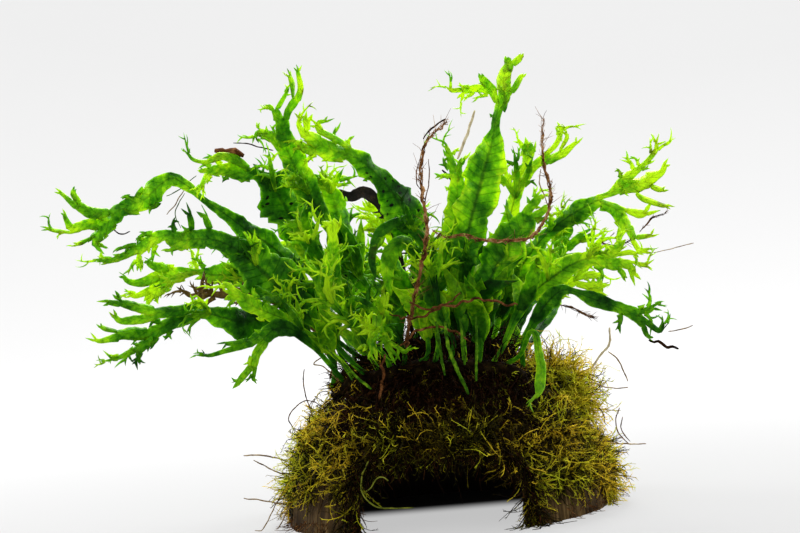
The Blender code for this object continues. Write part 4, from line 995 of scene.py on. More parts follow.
def leaf_material(name, spotted):
    """A wet lace fern blade: green by its tone, with a dark midrib, faint side veins, browned tips and
    margins lightened as painted backlight.
    """
    material, tree = new_tree(name)
    run, tint = uv_parts(tree, "run"), uv_parts(tree, "tint")
    far, tone = tint[0], tint[1]
    along = product(tree, run[0], 100.0)
    aside = product(tree, maths(tree, "ABSOLUTE", maths(tree, "SUBTRACT", run[1], 0.5)), 2.0)
    mottle = speckle(tree, 420.0, 5.0, 0.7)
    light = swayed(tree, tone, speckle(tree, 75.0, 3.0, 0.6), 1.5)
    light = swayed(tree, light, mottle, 0.8)
    light = maths(tree, "MULTIPLY_ADD", maths(tree, "POWER", far, 2.0), 0.36, light)
    # Painted light: the blade grows lighter towards its margins, for thin edges lit from behind.
    light = maths(tree, "ADD", light, between(tree, aside, 0.72, 1.0, 0.0, 0.20))
    green = ramp(tree, light, LEAF_GREENS)
    bend = maths(tree, "MULTIPLY_ADD", aside, -1.1, product(tree, along, 0.3))
    vein = maths(tree, "ABSOLUTE", maths(tree, "SINE", product(tree, bend, math.pi)))
    vein_line = between(tree, vein, 0.0, 0.22, 1.0, 0.0)
    green = mixed(tree, product(tree, vein_line, 0.30), green, VEIN_COLOUR)
    beside_rib = between(tree, aside, 0.02, 0.15, 1.0, 0.0)
    rib = product(tree, beside_rib, between(tree, far, 0.45, 0.85, 0.62, 0.15))
    green = mixed(tree, rib, green, RIB_COLOUR)
    if spotted:
        green = mixed(tree, leaf_spots(tree, along, run[1], aside, far), green, SPOT_COLOUR)
    blotch = between(tree, speckle(tree, 190.0, 4.0, 0.7), 0.54, 0.72, 0.0, 0.85)
    green = mixed(tree, product(tree, blotch, between(tree, far, 0.62, 1.0)), green, BROWNED_COLOUR)
    through = mixed(tree, 1.0, green, LEAF_GLOW, "MULTIPLY")
    pitted = maths(tree, "MULTIPLY_ADD", mottle, 0.6, product(tree, vein_line, -0.5))
    finish_material(tree, green, through, LEAF_GLOW_SHARE, 0.42, pitted, 0.0005, 0.08)
    return material


def dead_leaf_material(name, dark, mid, pale):
    """A blade gone brown or black, wet and creased."""
    material, tree = new_tree(name)
    brown = ramp(tree, speckle(tree, 260.0, 5.0, 0.7), [(0.3, dark), (0.55, mid), (0.75, pale)])
    finish_material(tree, brown, brown, 0.2, 0.5, speckle(tree, 700.0, 4.0), 0.0006, 0.12)
    return material


def moss_material(name):
    """Java moss: olive to golden strands, lighter towards their tips, with some gone green."""
    material, tree = new_tree(name)
    strand = uv_parts(tree, "strand")
    growth = maths(tree, "MULTIPLY_ADD", strand[0], 0.40, 0.86)
    light = swayed(tree, product(tree, strand[1], growth), speckle(tree, 70.0, 2.0), 0.5)
    colour = ramp(tree, light, MOSS_GREENS)
    hue = product(tree, between(tree, speckle(tree, 45.0, 2.0), 0.42, 0.62), 0.45)
    colour = mixed(tree, hue, colour, mixed(tree, 1.0, colour, GREENER, "MULTIPLY"))
    through = mixed(tree, 1.0, colour, MOSS_GLOW, "MULTIPLY")
    finish_material(tree, colour, through, MOSS_GLOW_SHARE, 0.6, specular=0.05)
    return material


def strand_material(name, dark, mid, pale):
    """Wiry roots and dry stalks, mottled along their length."""
    material, tree = new_tree(name)
    colour = ramp(tree, speckle(tree, 330.0, 4.0, 0.7), [(0.35, dark), (0.52, mid), (0.7, pale)])
    finish_material(tree, colour, colour, 0.0, 0.85, speckle(tree, 1500.0, 2.0), 0.0002, 0.02)
    return material


def husk_material():
    """Weathered coconut husk: long fibres down its sides over a brown ground, and near black inside as
    painted shade.
    """
    material, tree = new_tree("coconut_husk")
    fibre = node(tree, "UVMap", uv_map="fibre").outputs[0]
    lengthwise = node(tree, "Mapping", {"Vector": fibre, "Scale": (240.0, 3.0, 1.0)}).outputs[0]
    inputs = {"Vector": lengthwise, "Scale": 1.0, "Detail": 4.0, "Roughness": 0.62}
    strands = node(tree, "TexNoise", inputs).outputs["Fac"]
    light = swayed(tree, strands, speckle(tree, 55.0, 4.0, 0.6), 0.8)
    # Painted shade: the inner face is mixed to a near black colour.
    inside_shade = between(tree, node(tree, "SeparateXYZ", {0: fibre}).outputs[1], 1.5, 1.6)
    colour = mixed(tree, inside_shade, ramp(tree, light, HUSK_BROWNS), PAINTED_HOLLOW_SHADE)
    finish_material(tree, colour, colour, 0.0, 0.85, strands, 0.0012, 0.08)
    return material


def tent_material():
    """The inside of a light tent: it glows, more faintly near the plant, and shows only a little of the
    shadows that fall on it; in the cave its glow fades out as painted shade.
    """
    material, tree = new_tree("light_tent")
    place = node(tree, "TexCoord").outputs["Object"]
    away = node(tree, "VectorMath", {0: place, 1: in_frame((0, 0, 0))}, operation="DISTANCE").outputs["Value"]
    glow = between(tree, away, TENT_NEAR[0], TENT_FAR[0], TENT_NEAR[1], TENT_FAR[1])
    back = node(tree, "SeparateXYZ", {0: place}).outputs[1]
    # Painted shade: inside the cave, under the shell, the floor's glow is taken away.
    painted_shade_in_cave = product(tree, between(tree, away, *CAVE_EDGE, 1.0, 0.0), between(tree, back, *PAINTED_CAVE_SHADE))
    glow = product(tree, glow, maths(tree, "SUBTRACT", 1.0, painted_shade_in_cave))
    matt = node(tree, "BsdfDiffuse", {"Color": (TENT_GREY, TENT_GREY, TENT_GREY, 1.0)}).outputs[0]
    lit = node(tree, "Emission", {"Color": WHITE, "Strength": glow}).outputs[0]
    surface = node(tree, "AddShader", {0: matt, 1: lit}).outputs[0]
    node(tree, "OutputMaterial", {"Surface": surface})
    return material


# The fronds

def flat_distance(first, second):
    return math.hypot(second[0] - first[0], second[1] - first[1])


def reach_of(stretch, start):
    """The longest way along a stretch and its limbs, as it shows."""
    points, forks = stretch
    length = 0.0
    for point in points:
        length += flat_distance(start, point)
        start = point
    return length + max((reach_of(fork, start) for fork in forks), default=0.0)


def side_tip(start, end, dice, share):
    """A tip that turns aside from the way from start to end."""
    turn = dice.choice((-1, 1)) * math.radians(dice.uniform(*TWIG_TURN))
    x, y = (end[0] - start[0]) * share, (end[1] - start[1]) * share
    across = start[0] + x * math.cos(turn) - y * math.sin(turn)
    up = start[1] + x * math.sin(turn) + y * math.cos(turn)
    return across, up, 0


def laced(stretch, start, level, dice):
    """Gives the limbs of a frond more small pointed tips, so that they end in lace."""
    points, forks = stretch
    if forks:
        return points, tuple(laced(fork, points[-1], level + 1, dice) for fork in forks)
    if level == 0:
        return stretch
    before = points[-2] if len(points) > 1 else start
    tip = points[-1]
    if flat_distance(before, tip) < TWIG_LENGTH:
        return stretch
    part = dice.uniform(*TWIG_SPLIT)
    width = max(TWIG_WIDTH, before[2] * 0.75)
    split = (before[0] + (tip[0] - before[0]) * part, before[1] + (tip[1] - before[1]) * part, width)
    twig = limb([side_tip(split, tip, dice, dice.uniform(*TWIG_SHARE))])
    return [*points[:-1], split], (limb([tip]), twig)


def curved(before, first, last, after, part):
    """The place part of the way from first to last, on a smooth curve through its neighbours as well."""
    square, cube = part * part, part**3
    weights = (
        -0.5 * part + square - 0.5 * cube,
        1 - 2.5 * square + 1.5 * cube,
        0.5 * part + 2 * square - 1.5 * cube,
        -0.5 * square + 0.5 * cube,
    )
    return [sum(w * p[axis] for w, p in zip(weights, (before, first, last, after))) for axis in range(3)]


class Blade:
    """Skins a forking frond with rows of places across its two faces, which part at its forks."""

    def __init__(self, name, base, outward, reach, lean, stretch):
        self.dice = random.Random(name)
        self.base_back = base.y
        self.reach = reach
        self.lean = math.radians(lean)
        self.places, self.run, self.tint, self.faces = [], [], [], []
        shown = seen(base)
        stretch = laced(stretch, shown, 0, self.dice)
        self.length = reach_of(stretch, shown)
        self.lace_from = LACE_FROM.get(name, PLAIN_LACE_FROM)
        self.next_spike = {0: 0.0, -1: 0.0}
        self.tufts = sorted(PLANTLETS.get(name, ()))
        self.fold = self.dice.uniform(0.10, 0.26) * self.dice.choice((-1, 1))
        waves = [self.dice.uniform(0, math.tau) for _ in range(4)]
        self.left_wave, self.right_wave, self.quilt_wave = waves[:3]
        tone = TONES.get(name, PLAIN_TONE)
        cells = BROAD_CELLS if max(point[2] for point in stretch[0]) > BROAD_BLADE else CELLS
        first = self.row(base, outward, PETIOLE_WIDTH, PETIOLE_THICKNESS, cells, 0.0, tone)
        self.cap(first)
        self.grow(stretch, first, base, shown, 0.0, 0.0, 0.0, 0, PETIOLE_WIDTH, tone)

    def jitter(self):
        """A small random vector for each turn of a growing leaf."""
        return Vector(self.dice.uniform(-1, 1) for _ in range(3))

    def row(self, place, heading, width, thickness, cells, way, tone):
        """Places across the blade, of its top face and of its under face, which share their two ends."""
        heading = heading.normalized()
        side = AHEAD.cross(heading).normalized()
        side = Matrix.Rotation(self.lean, 3, heading) @ side
        face = side.cross(heading).normalized()
        half = width / 2 / math.cos(self.lean)
        broad = min(1.0, width / LOBED_WIDTH)
        ruffle = RUFFLE * min(1.0, max(0.0, (width - SMOOTH_WIDTH) / (RUFFLED_WIDTH - SMOOTH_WIDTH)))
        top, under = [], []
        for column in range(cells + 1):
            over = math.sin(math.pi / 2 * (2 * column / cells - 1))
            margin = self.left_wave if over < 0 else self.right_wave
            coarse = noise.noise(Vector((way * 0.16, margin * 9, 0.0)))
            lobes = coarse + 0.6 * noise.noise(Vector((way * 0.45, margin, 3.0)))
            edge = 1.0 + LOBE_DEPTH * lobes * broad
            ripple = ruffle * half * over * over * math.sin(way / 2.6 + margin * 1.7 + lobes)
            swell = 0.35 * ruffle * math.sin(way * 1.6 + abs(over) * 3.4 + self.quilt_wave)
            quilt = swell * (1 - over * over) * 4
            lift = self.fold * half * abs(over) + ripple + quilt
            middle = place + side * (half * over * edge) + face * lift
            depth = thickness / 2 * math.sqrt(max(0.0, 1 - over * over))
            top.append(self.add(middle + face * depth, way, 0.5 + over / 2, tone))
            inside = 0 < column < cells
            under.append(self.add(middle - face * depth, way, 0.5 + over / 2, tone) if inside else top[-1])
        return top, under

    def spike(self, root, heading, width, length, way, tone, depth=0):
        """A pointed, hooked tine from the margin, with smaller tines on the sides of a long one."""
        face = -AHEAD
        hook = self.dice.uniform(-SPIKE_HOOK, SPIKE_HOOK)
        heading = (heading + AHEAD * self.dice.uniform(-0.35, 0.35)).normalized()
        rows = SPIKE_ROWS if length < LONG_SPIKE else SPIKE_ROWS + 2
        turn = self.dice.choice((-1, 1))
        before, here = None, root
        for step in range(rows):
            wide = width / 2 * (1 - step / rows) ** 0.75
            side = heading.cross(face).normalized()
            over = face * (TIP_THICKNESS / 2 * (1 - 0.6 * step / rows))
            corners = (here - side * wide, here + over, here + side * wide, here - over)
            ring = [self.add(corner, way, MARGIN_RUN, tone) for corner in corners]
            if before:
                for corner in range(4):
                    after = (corner + 1) % 4
                    self.faces.append([before[corner], before[after], ring[after], ring[corner]])
            if depth < 1 and step in (2, 4) and length > SPIKE_WITH_TINE:
                turn = -turn
                angle = turn * self.dice.uniform(0.5, 1.1)
                aside = heading * math.cos(angle) + side * math.sin(angle)
                shorter = length * self.dice.uniform(0.35, 0.7)
                self.spike(here, aside, width * 0.6, shorter, way, tone, depth + 1)
            before = ring
            heading = (heading + side * hook).normalized()
            here = here + heading * (length / rows)
        tip = self.add(here, way, MARGIN_RUN, tone)
        for corner in range(4):
            self.faces.append([before[corner], before[(corner + 1) % 4], tip])

    def spikes(self, row, heading, way, level, width, tone):
        """Sets tines on both margins of a row, thickly on the limbs and here and there low on the blade."""
        tipness = way / self.length
        for end, beside, turn in ((0, 1, -1), (-1, -2, 1)):
            if way < self.next_spike[end]:
                continue
            thinner = 1.0 if level else max(0.25, 2 * tipness - 0.5)
            self.next_spike[end] = way + self.dice.uniform(*(LIMB_WAIT if level else BLADE_WAIT)) / thinner
            if tipness < self.lace_from:
                continue
            edge = self.places[row[0][end]]
            inner = edge + (self.places[row[0][beside]] - edge) * 0.8
            side = AHEAD.cross(heading).normalized() * turn
            lean = math.radians(self.dice.uniform(*SPIKE_LEAN))
            length = 2.0 + 7.5 * self.dice.random() ** 1.5
            base = min(2.6, 0.8 + width * 0.5) * min(1.0, 0.45 + length / 8)
            shade = min(1.0, tone + self.dice.uniform(-0.08, 0.18))
            self.spike(inner, heading * math.cos(lean) + side * math.sin(lean), base, length, way, shade)

    def leaflet(self, root, heading, length, width, tone):
        """A small lacy leaf that grows out of the blade."""
        heading = heading.normalized()
        bend = self.jitter() * 0.05
        count = max(6, round(length / LEAFLET_STEP))
        kept = self.lace_from, self.next_spike
        way = self.length * 0.7
        self.lace_from = 0.0 if width < SMOOTH_LEAFLET else 2.0
        self.next_spike = {0: way + length * 0.3, -1: way + length * 0.3}
        before, here = None, root
        for step in range(count):
            part = step / count
            swell = 0.45 + 0.55 * math.sin(math.pi * min(1.0, part * 1.15)) ** 0.7
            wide = width * swell * (1 - part**4)
            at = way + length * part
            after = self.row(here, heading, wide, TIP_THICKNESS, 4 if width < BROAD_LEAFLET else 8, at, tone)
            if before:
                self.join(before, after)
                self.spikes(after, heading, at, 1, wide, tone)
            else:
                self.cap(after)
            before = after
            heading = (heading + bend + self.jitter() * 0.10).normalized()
            here = here + heading * (length / count)
        self.close(before, here, way + length, tone)
        self.lace_from, self.next_spike = kept

    def plantlet(self, root, heading, count, length, width, tone):
        """A tuft of leaflets, as grows on an old frond."""
        loose, forward = (0.95, 0.25) if width < BROAD_LEAFLET else (0.45, 0.0)
        for _ in range(count):
            way_out = heading + self.jitter() * loose
            way_out.y -= forward
            shade = min(1.0, max(0.0, tone + self.dice.uniform(-0.2, 0.3)))
            long = length * self.dice.uniform(0.55, 1.2)
            self.leaflet(root, way_out, long, width * self.dice.uniform(0.7, 1.3), shade)

    def add(self, place, way, over, tone):
        self.places.append(place)
        self.run.append((way / 100.0, over))
        self.tint.append((min(1.0, way / self.length), tone))
        return len(self.places) - 1

    def skin(self, corners, flip):
        """Adds a face, turned over or not, leaving out a corner that is there twice."""
        corners = corners[::-1] if flip else corners
        face = [corner for step, corner in enumerate(corners) if corner != corners[step - 1]]
        if len(set(face)) > 2:
            self.faces.append(face)

    def cap(self, row):
        top, under = row
        for column in range(len(top) - 1):
            self.skin([top[column], under[column], under[column + 1], top[column + 1]], False)

    def join(self, before, after):
        """Skins one row to the next, which has as many columns or twice as many."""
        times = (len(after[0]) - 1) // (len(before[0]) - 1)
        for face in (0, 1):
            old, new = before[face], after[face]
            for column in range(len(old) - 1):
                ahead = new[column * times:(column + 1) * times + 1]
                self.skin([old[column], old[column + 1], *reversed(ahead)], face == 1)
        for end in (0, -1):
            if before[0][end] != before[1][end]:
                self.skin([before[0][end], before[1][end], after[0][end]], end == 0)

    def close(self, before, place, way, tone):
        """Draws a row together in a tip."""
        tip = [self.add(place, way, 0.5, tone)] * len(before[0])
        self.join(before, (tip, tip))

    def sampled(self, points, place, shown, way, aside, spread, level, width):
        """Steps along a stretch, each a place, a width and how far along, then the new `way` and `aside`."""
        chain = [(*shown, width), *points]
        entry = [first - (second - first) * 0.5 for first, second in zip(*chain[:2])]
        chain = [entry, *chain, [2 * last - before for before, last in zip(*chain[-2:])]]
        off = place.y - self.back_at(way) - aside
        samples = []
        for index in range(1, len(chain) - 2):
            span = flat_distance(chain[index], chain[index + 1])
            count = max(1, math.ceil(span / (TIP_STEP if level else BLADE_STEP)))
            for tick in range(1, count + 1):
                part = tick / count
                across, up, wide = curved(*chain[index - 1:index + 3], part)
                if index == len(chain) - 3 and points[-1][2] == 0:
                    wide = chain[index][2] * (1 - part**1.7)
                off_here = off * (1 - part) if index == 1 else 0.0
                here = way + span * part
                back = self.back_at(here) + aside + spread * span * part + off_here
                samples.append((spot(across, up, back), max(wide, 0.0), here))
            way += span
            aside += spread * span
        return samples, way, aside

    def grow(self, stretch, before, place, shown, way, aside, spread, level, width, tone):
        """Adds a stretch after the row `before`, from `place`, which shows at `shown`.

        `way` is how far along the frond it starts, `aside` how far front to back it is there from the frond's
        own line, and `spread` how much further aside it goes for each millimetre.
        """
        points, forks = stretch
        samples, way, aside = self.sampled(points, place, shown, way, aside, spread, level, width)
        cells = len(before[0]) - 1
        cells = cells if cells > 2 else cells * 2
        route = [place, *(sample[0] for sample in samples)]
        for index, (here, wide, at) in enumerate(samples):
            heading = route[min(index + 2, len(route) - 1)] - route[index]
            if index == len(samples) - 1 and points[-1][2] == 0:
                self.close(before, here, at, tone)
                return
            fuller = 1.0 + LIMB_FULLNESS * min(level, 1)
            thickness = self.thickness(level, at, wide)
            after = self.row(here, heading, max(wide * fuller, LEAST_WIDTH), thickness, cells, at, tone)
            self.join(before, after)
            self.spikes(after, heading.normalized(), at, level, wide, tone)
            while level == 0 and self.tufts and at >= self.tufts[0][0] * self.length:
                _, *tuft = self.tufts.pop(0)
                self.plantlet(here, heading.normalized() + UPWARD * 0.4, *tuft)
            before = after
        self.fork(forks, before, points[-1], heading, way, aside, level, tone)

    def fork(self, forks, row, point, heading, way, aside, level, tone):
        """Parts a row between two limbs by their widths, the one on the left edge first."""
        across, up = heading.dot(RIGHT), heading.dot(UPWARD)

        def rightness(limb_of):
            first = limb_of[0][0]
            return (first[0] - point[0]) * up - (first[1] - point[1]) * across

        left, right = sorted(forks, key=rightness)
        cells = len(row[0]) - 1
        widths = [max(limb_of[0][0][2], 1.2) for limb_of in (left, right)]
        cut = min(cells - 1, max(1, round(cells * widths[0] / sum(widths))))
        parts = ((left, slice(0, cut + 1), FORK_SPREAD), (right, slice(cut, None), -FORK_SPREAD))
        for limb_of, columns, spread in parts:
            part = (row[0][columns], row[1][columns])
            ends = [self.places[part[0][0]], self.places[part[0][-1]]]
            start = (ends[0] + ends[1]) / 2
            width = (ends[1] - ends[0]).length
            shade = min(1.0, max(0.0, tone + self.dice.uniform(-0.06, 0.12)))
            self.grow(limb_of, part, start, seen(start), way, aside, spread, level + 1, width, shade)

    def back_at(self, way):
        return self.base_back + (self.reach - self.base_back) * way / self.length

    def thickness(self, level, way, width):
        if level:
            return TIP_THICKNESS
        petiole = max(0.0, 1 - max(0.0, width - PETIOLE_WIDTH) / 3.0)
        low_down = max(0.0, 1 - way / (self.length * 0.6))
        return BLADE_THICKNESS + (PETIOLE_THICKNESS - BLADE_THICKNESS) * petiole * low_down


def grow_fronds():
    green, spotted = leaf_material("green_leaf", False), leaf_material("spotted_leaf", True)
    dead = {name: dead_leaf_material(*colours) for name, colours in DEAD_COLOURS.items()}
    for name, (row, place, reach, lean, stretch) in FRONDS.items():
        middle, outward = along_rhizome(row, place)
        base = middle + outward * (RHIZOME_RADIUS - FOOT_DEPTH)
        blade = Blade(name, base, outward, reach, lean, stretch)
        material = dead.get(name, spotted if name in SPOTTED_FRONDS else green)
        layers = {"run": blade.run, "tint": blade.tint}
        piece = name.replace("frond", "blade")
        mesh_piece(piece, blade.places, blade.faces, material, [name], layers)


# Strands: the moss, the roots and the fibres

def unit(vectors):
    return vectors / np.maximum(np.linalg.norm(vectors, axis=-1, keepdims=True), 1e-9)


def way_out(places):
    """The way out of the husk at each place."""
    return unit(places / DOME**2)


def downhill(outward):
    """The way down along the husk, where the way out is given."""
    return DOWN + outward * outward[:, 2:3]


def clear_of_husk(places, lift, most=None):
    """Moves places to between `lift` and `most` off the husk, and those under the floor up to it."""
    level = np.maximum(np.linalg.norm(places / DOME, axis=-1), 1e-6)
    kept = np.maximum(level, 1 + lift / SHELL_RADIUS)
    if most is not None:
        kept = np.minimum(kept, 1 + most / SHELL_RADIUS)
    places = places * (kept / level)[..., None]
    places[..., 1] = np.maximum(places[..., 1], FRONT_LIMIT)
    places[..., 2] = np.maximum(places[..., 2], STRAND_FLOOR)
    return places


def wander(starts, headings, lengths, rings, curl, droop, dice, lift=0.6, most=None):
    """Curling routes from starts along headings: an array of strands by rings by (x, y, z)."""
    steps = (lengths / (rings - 1))[:, None]
    place, heading = starts, unit(headings)
    axis = unit(dice.normal(size=starts.shape))
    routes = [place]
    for _ in range(rings - 1):
        heading = heading + np.cross(axis, heading) * curl * steps
        heading = unit(heading + DOWN * droop * steps)
        place = clear_of_husk(place + heading * steps, lift, most)
        axis = unit(axis + 0.35 * dice.normal(size=axis.shape))
        routes.append(place)
    return np.stack(routes, axis=1)


def tube_skin(strands, rings, sides):
    """The faces of closed tubes, each of so many rings with so many places round."""
    faces = []
    for first in range(0, strands * rings * sides, rings * sides):
        faces.append(list(range(first + sides - 1, first - 1, -1)))
        faces += quads(first, rings, sides)
        faces.append(list(range(first + (rings - 1) * sides, first + rings * sides)))
    return faces


def tubes(routes, half_widths, sides=3):
    """Places round routes, at the half width that is given for each ring."""
    along = unit(np.gradient(routes, axis=1))
    side = unit(np.cross(along, np.array([0.31, 0.27, 0.91])))
    other = np.cross(along, side)
    angles = math.tau * np.arange(sides) / sides
    wide = half_widths[..., None, None]
    across = np.cos(angles)[None, None, :, None] * side[:, :, None, :] * wide
    out = np.sin(angles)[None, None, :, None] * other[:, :, None, :] * wide
    return (routes[:, :, None, :] + across + out).reshape(-1, 3)


def strand_layer(strands, rings, sides, tones):
    """The UV of a batch of strands: how far along, and the strand's own tone."""
    along = np.tile(np.repeat(np.linspace(0, 1, rings), sides), strands)
    return np.stack([along, np.repeat(tones, rings * sides)], axis=1)


def seeds(name, count, dice):
    """Places on the outer side of a clump's solid, the lushest of those tried, and the way out there."""
    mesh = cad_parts[name].data
    mesh.calc_loop_triangles()
    places = np.array([vertex.co for vertex in mesh.vertices]) / MM - RIM_MIDDLE
    corners = places[np.array([triangle.vertices for triangle in mesh.loop_triangles])]
    normals = np.cross(corners[:, 1] - corners[:, 0], corners[:, 2] - corners[:, 0])
    areas = np.linalg.norm(normals, axis=1)
    outward = way_out(corners.mean(axis=1))
    facing = (unit(normals) * outward).sum(axis=1)
    chance = np.where(facing > 0.15, areas, 0.0)
    tried = round(count * PATCHINESS)
    chosen = dice.choice(len(areas), tried, p=chance / chance.sum())
    first, second = np.sqrt(dice.random(tried)), dice.random(tried)
    weights = np.stack([1 - first, first * (1 - second), first * second], axis=1)
    starts = (corners[chosen] * weights[:, :, None]).sum(axis=1)
    ways = unit(normals[chosen] + outward[chosen])
    spots = [Vector(place) for place in starts]
    lush = np.array([noise.noise(place * 0.14) + 0.5 * noise.noise(place * 0.33) for place in spots])
    under = np.maximum(0.0, BARE_BELOW.get(name, 0.0) - starts[:, 2])
    lush += dice.random(tried) * 0.55 - 0.022 * under
    best = np.argsort(-lush, kind="stable")[:count]
    return starts[best], ways[best]


def husk_seeds(first, last, nearest, farthest, count, dice):
    """Places on the husk between two bearings in degrees and two distances out, and the way out there."""
    angle = np.radians(dice.uniform(first, last, count))
    out = np.sqrt(dice.uniform(nearest**2, farthest**2, count))
    ground = zip(out * np.cos(angle), out * np.sin(angle))
    starts = np.array([tuple(crown_point(x, y)) for x, y in ground])
    return starts, way_out(starts)


def arch_seeds(count, dice):
    """Places on the husk just outside the mouth's arch, and the way out there."""
    turn = dice.uniform(-0.05, math.pi + 0.05, count)
    wider = dice.uniform(0.4, 5.0, count)
    x = MOUTH_MIDDLE + (MOUTH_WIDTH / 2 + wider) * np.cos(turn)
    z = JAMB_HEIGHT + (MOUTH_HEIGHT - JAMB_HEIGHT + wider) * np.sin(turn)
    low = (turn < 0.25) | (turn > math.pi - 0.25)
    z = np.where(low, dice.uniform(2.0, JAMB_HEIGHT, count), z)
    y = -SHELL_RADIUS * np.sqrt(np.maximum(0.02, 1 - (z / SHELL_HEIGHT) ** 2 - (x / SHELL_RADIUS) ** 2))
    places = np.stack([x, y, z], axis=1)
    away = way_out(places)
    return places + away * dice.uniform(0.4, 2.5, (count, 1)), away


def moss_tones(is_golden, golden, spread, painted_depth_shade, dice):
    """Each strand's tone: golden or dull, give or take a little, less the painted shade that is given."""
    tones = np.where(is_golden, golden, DULL) + dice.normal(size=len(is_golden)) * spread - painted_depth_shade
    return np.clip(tones, 0.02, 1)


def moss_strands(name, dice):
    """A clump's strands: thin stems set with pointed leaves, that start at all depths in it and tangle."""
    count, length, deep, golden = MOSS[name]
    starts, outward = seeds(name, count, dice)
    stray = dice.random(count) < STRAY_SHARE
    headings = outward * np.where(stray, 0.9, 0.12)[:, None] + unit(downhill(outward)) * 0.25
    headings = headings + dice.normal(size=starts.shape) * 0.7
    lengths = length * dice.uniform(0.4, 1.2, count) * np.where(stray, 1.3, 1.0)
    if name == RISING:
        high = stray & (starts[:, 2] > RISE_FROM)
        headings[high] += RISE
        lengths[high] *= 1.3
    depth = dice.random(count)
    starts = clear_of_husk(starts - outward * (deep * depth + 0.4)[:, None], 0.6)
    if name == FRINGED:
        hung, away = arch_seeds(count // 2, dice)
        starts[::2] = hung
        headings[::2] = away * 0.35 + DOWN * 0.8 + dice.normal(size=hung.shape) * 0.45
    routes = wander(starts, headings, lengths, STEM_RINGS, 0.13, 0.02, dice)
    is_golden = dice.random(count) < golden + 0.6 * stray
    # Painted shade: strands that start deeper in the clump are made darker.
    return moss_skin(routes, moss_tones(is_golden, GOLDEN, 0.13, 0.20 * depth, dice), dice)


def moss_skin(routes, tones, dice):
    """Places, faces and tones of stems along routes, with their leaves."""
    count = len(routes)
    size = dice.uniform(0.7, 1.25, count)
    thin = STEM_RADIUS * size[:, None] * np.linspace(1.0, STEM_TAPER, STEM_RINGS)[None, :]
    leaves, leaf_faces, leaf_layer = moss_leaves(routes, size, tones, dice)
    stems = tubes(routes, thin)
    faces = tube_skin(count, STEM_RINGS, 3) + shifted(leaf_faces, len(stems))
    layer = np.concatenate([strand_layer(count, STEM_RINGS, 3, tones), leaf_layer])
    return np.concatenate([stems, leaves]), faces, layer


def moss_leaves(routes, size, tones, dice):
    """Small leaves along stems, each a closed sliver with three places at its foot and one at its tip."""
    count = len(routes)
    places, layer = [], []
    for leaf in range(STEM_LEAVES):
        way = (leaf + dice.uniform(0.5, 1.0, count)) / STEM_LEAVES * (STEM_RINGS - 1.01)
        ring = way.astype(int)
        first, last = routes[np.arange(count), ring], routes[np.arange(count), ring + 1]
        foot = first + (last - first) * (way - ring)[:, None]
        along = unit(last - first)
        side = unit(np.cross(along, dice.normal(size=along.shape)))
        out = unit(along * dice.uniform(0.5, 1.2, (count, 1)) + side)
        wide = unit(np.cross(out, side)) * LEAF_WIDTH * size[:, None]
        tip = foot + out * (dice.uniform(*LEAF_LENGTH, count) * size)[:, None]
        places.append(np.stack([foot + wide, foot - wide, foot - along * 0.25 + out * 0.25, tip], axis=1))
        tone = np.clip(tones + 0.1 + dice.normal(size=count) * 0.06, 0.02, 1)
        leaf_layer = np.stack([way / (STEM_RINGS - 1), tone], axis=1)
        layer.append(np.repeat(leaf_layer, 4, axis=0))
    places = np.concatenate(places).reshape(-1, 3)
    places[:, 2] = np.maximum(places[:, 2], LEAF_FLOOR)
    sliver = ([0, 2, 1], [0, 1, 3], [1, 2, 3], [2, 0, 3])
    faces = [[first + corner for corner in face] for first in range(0, len(places), 4) for face in sliver]
    return places, faces, np.concatenate(layer)


def crown_moss(material):
    """Single strands of moss on the crown, golden at its sides and dull in the middle of its front, as
    painted shade there.
    """
    dice = np.random.default_rng(CROWN_SEED)
    starts, outward = husk_seeds(-200, 160, 24, 56, CROWN_STRANDS, dice)
    behind = (starts[:, 1] > 0) & (dice.random(CROWN_STRANDS) < BROUGHT_FORWARD)
    starts[behind, 1] *= -1
    outward[behind, 1] *= -1
    starts = starts + outward * dice.uniform(1.0, 5.0, (CROWN_STRANDS, 1))
    aside = np.clip(np.abs(starts[:, 0] - 6) / 42 + 0.6 * (starts[:, 1] > 0), 0, 1)
    headings = outward * 0.45 + dice.normal(size=starts.shape) * 0.8
    lengths = dice.uniform(5, 12, CROWN_STRANDS) * (0.75 + 0.5 * aside)
    routes = wander(starts, headings, lengths, STEM_RINGS, 0.16, 0.02, dice, 1.0, 9.0)
    # Painted shade: strands near the front middle of the crown are seldom golden.
    is_golden = dice.random(CROWN_STRANDS) < 0.02 + 0.65 * aside**1.8
    tones = moss_tones(is_golden, GOLDEN - 0.1, 0.12, 0.0, dice)
    places, faces, layer = moss_skin(routes, tones, dice)
    mesh_piece("crown_moss", places, faces, material, (), {"strand": layer})


def moss_bed(name):
    """The dense inside of a clump: its solid drawn in a little and roughened."""
    source = new_object("bed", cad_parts[name].data.copy())
    finer = source.modifiers.new("Finer", "SUBSURF")
    finer.levels = finer.render_levels = 2
    fine = modified(source)
    bpy.data.objects.remove(source)
    places, lifts = [], []
    for vertex in fine.vertices:
        place = Vector(vertex.co) / MM - Vector(RIM_MIDDLE)
        rough = noise.noise(place * 0.45) + 0.6 * noise.noise(place * 1.1)
        level = math.hypot(place.x / SHELL_RADIUS, place.y / SHELL_RADIUS, place.z / SHELL_HEIGHT)
        proud = max(0.0, (level - 1) * SHELL_RADIUS - 1.0)
        places.append(place - dome_normal(place) * (BED_SINK * proud + 0.3 - 0.8 * rough))
        bare = BARE_BELOW.get(name, -10.0) + 5.0 * noise.noise(place * 0.09) - place.z
        lifts.append(0.35 - min(1.6, max(0.0, bare * 0.4)))
    lifts = np.array(lifts)
    places = clear_of_husk(np.array(places), lifts, np.where(lifts < 0.3, lifts, 60.0))
    return places, [list(polygon.vertices) for polygon in fine.polygons]


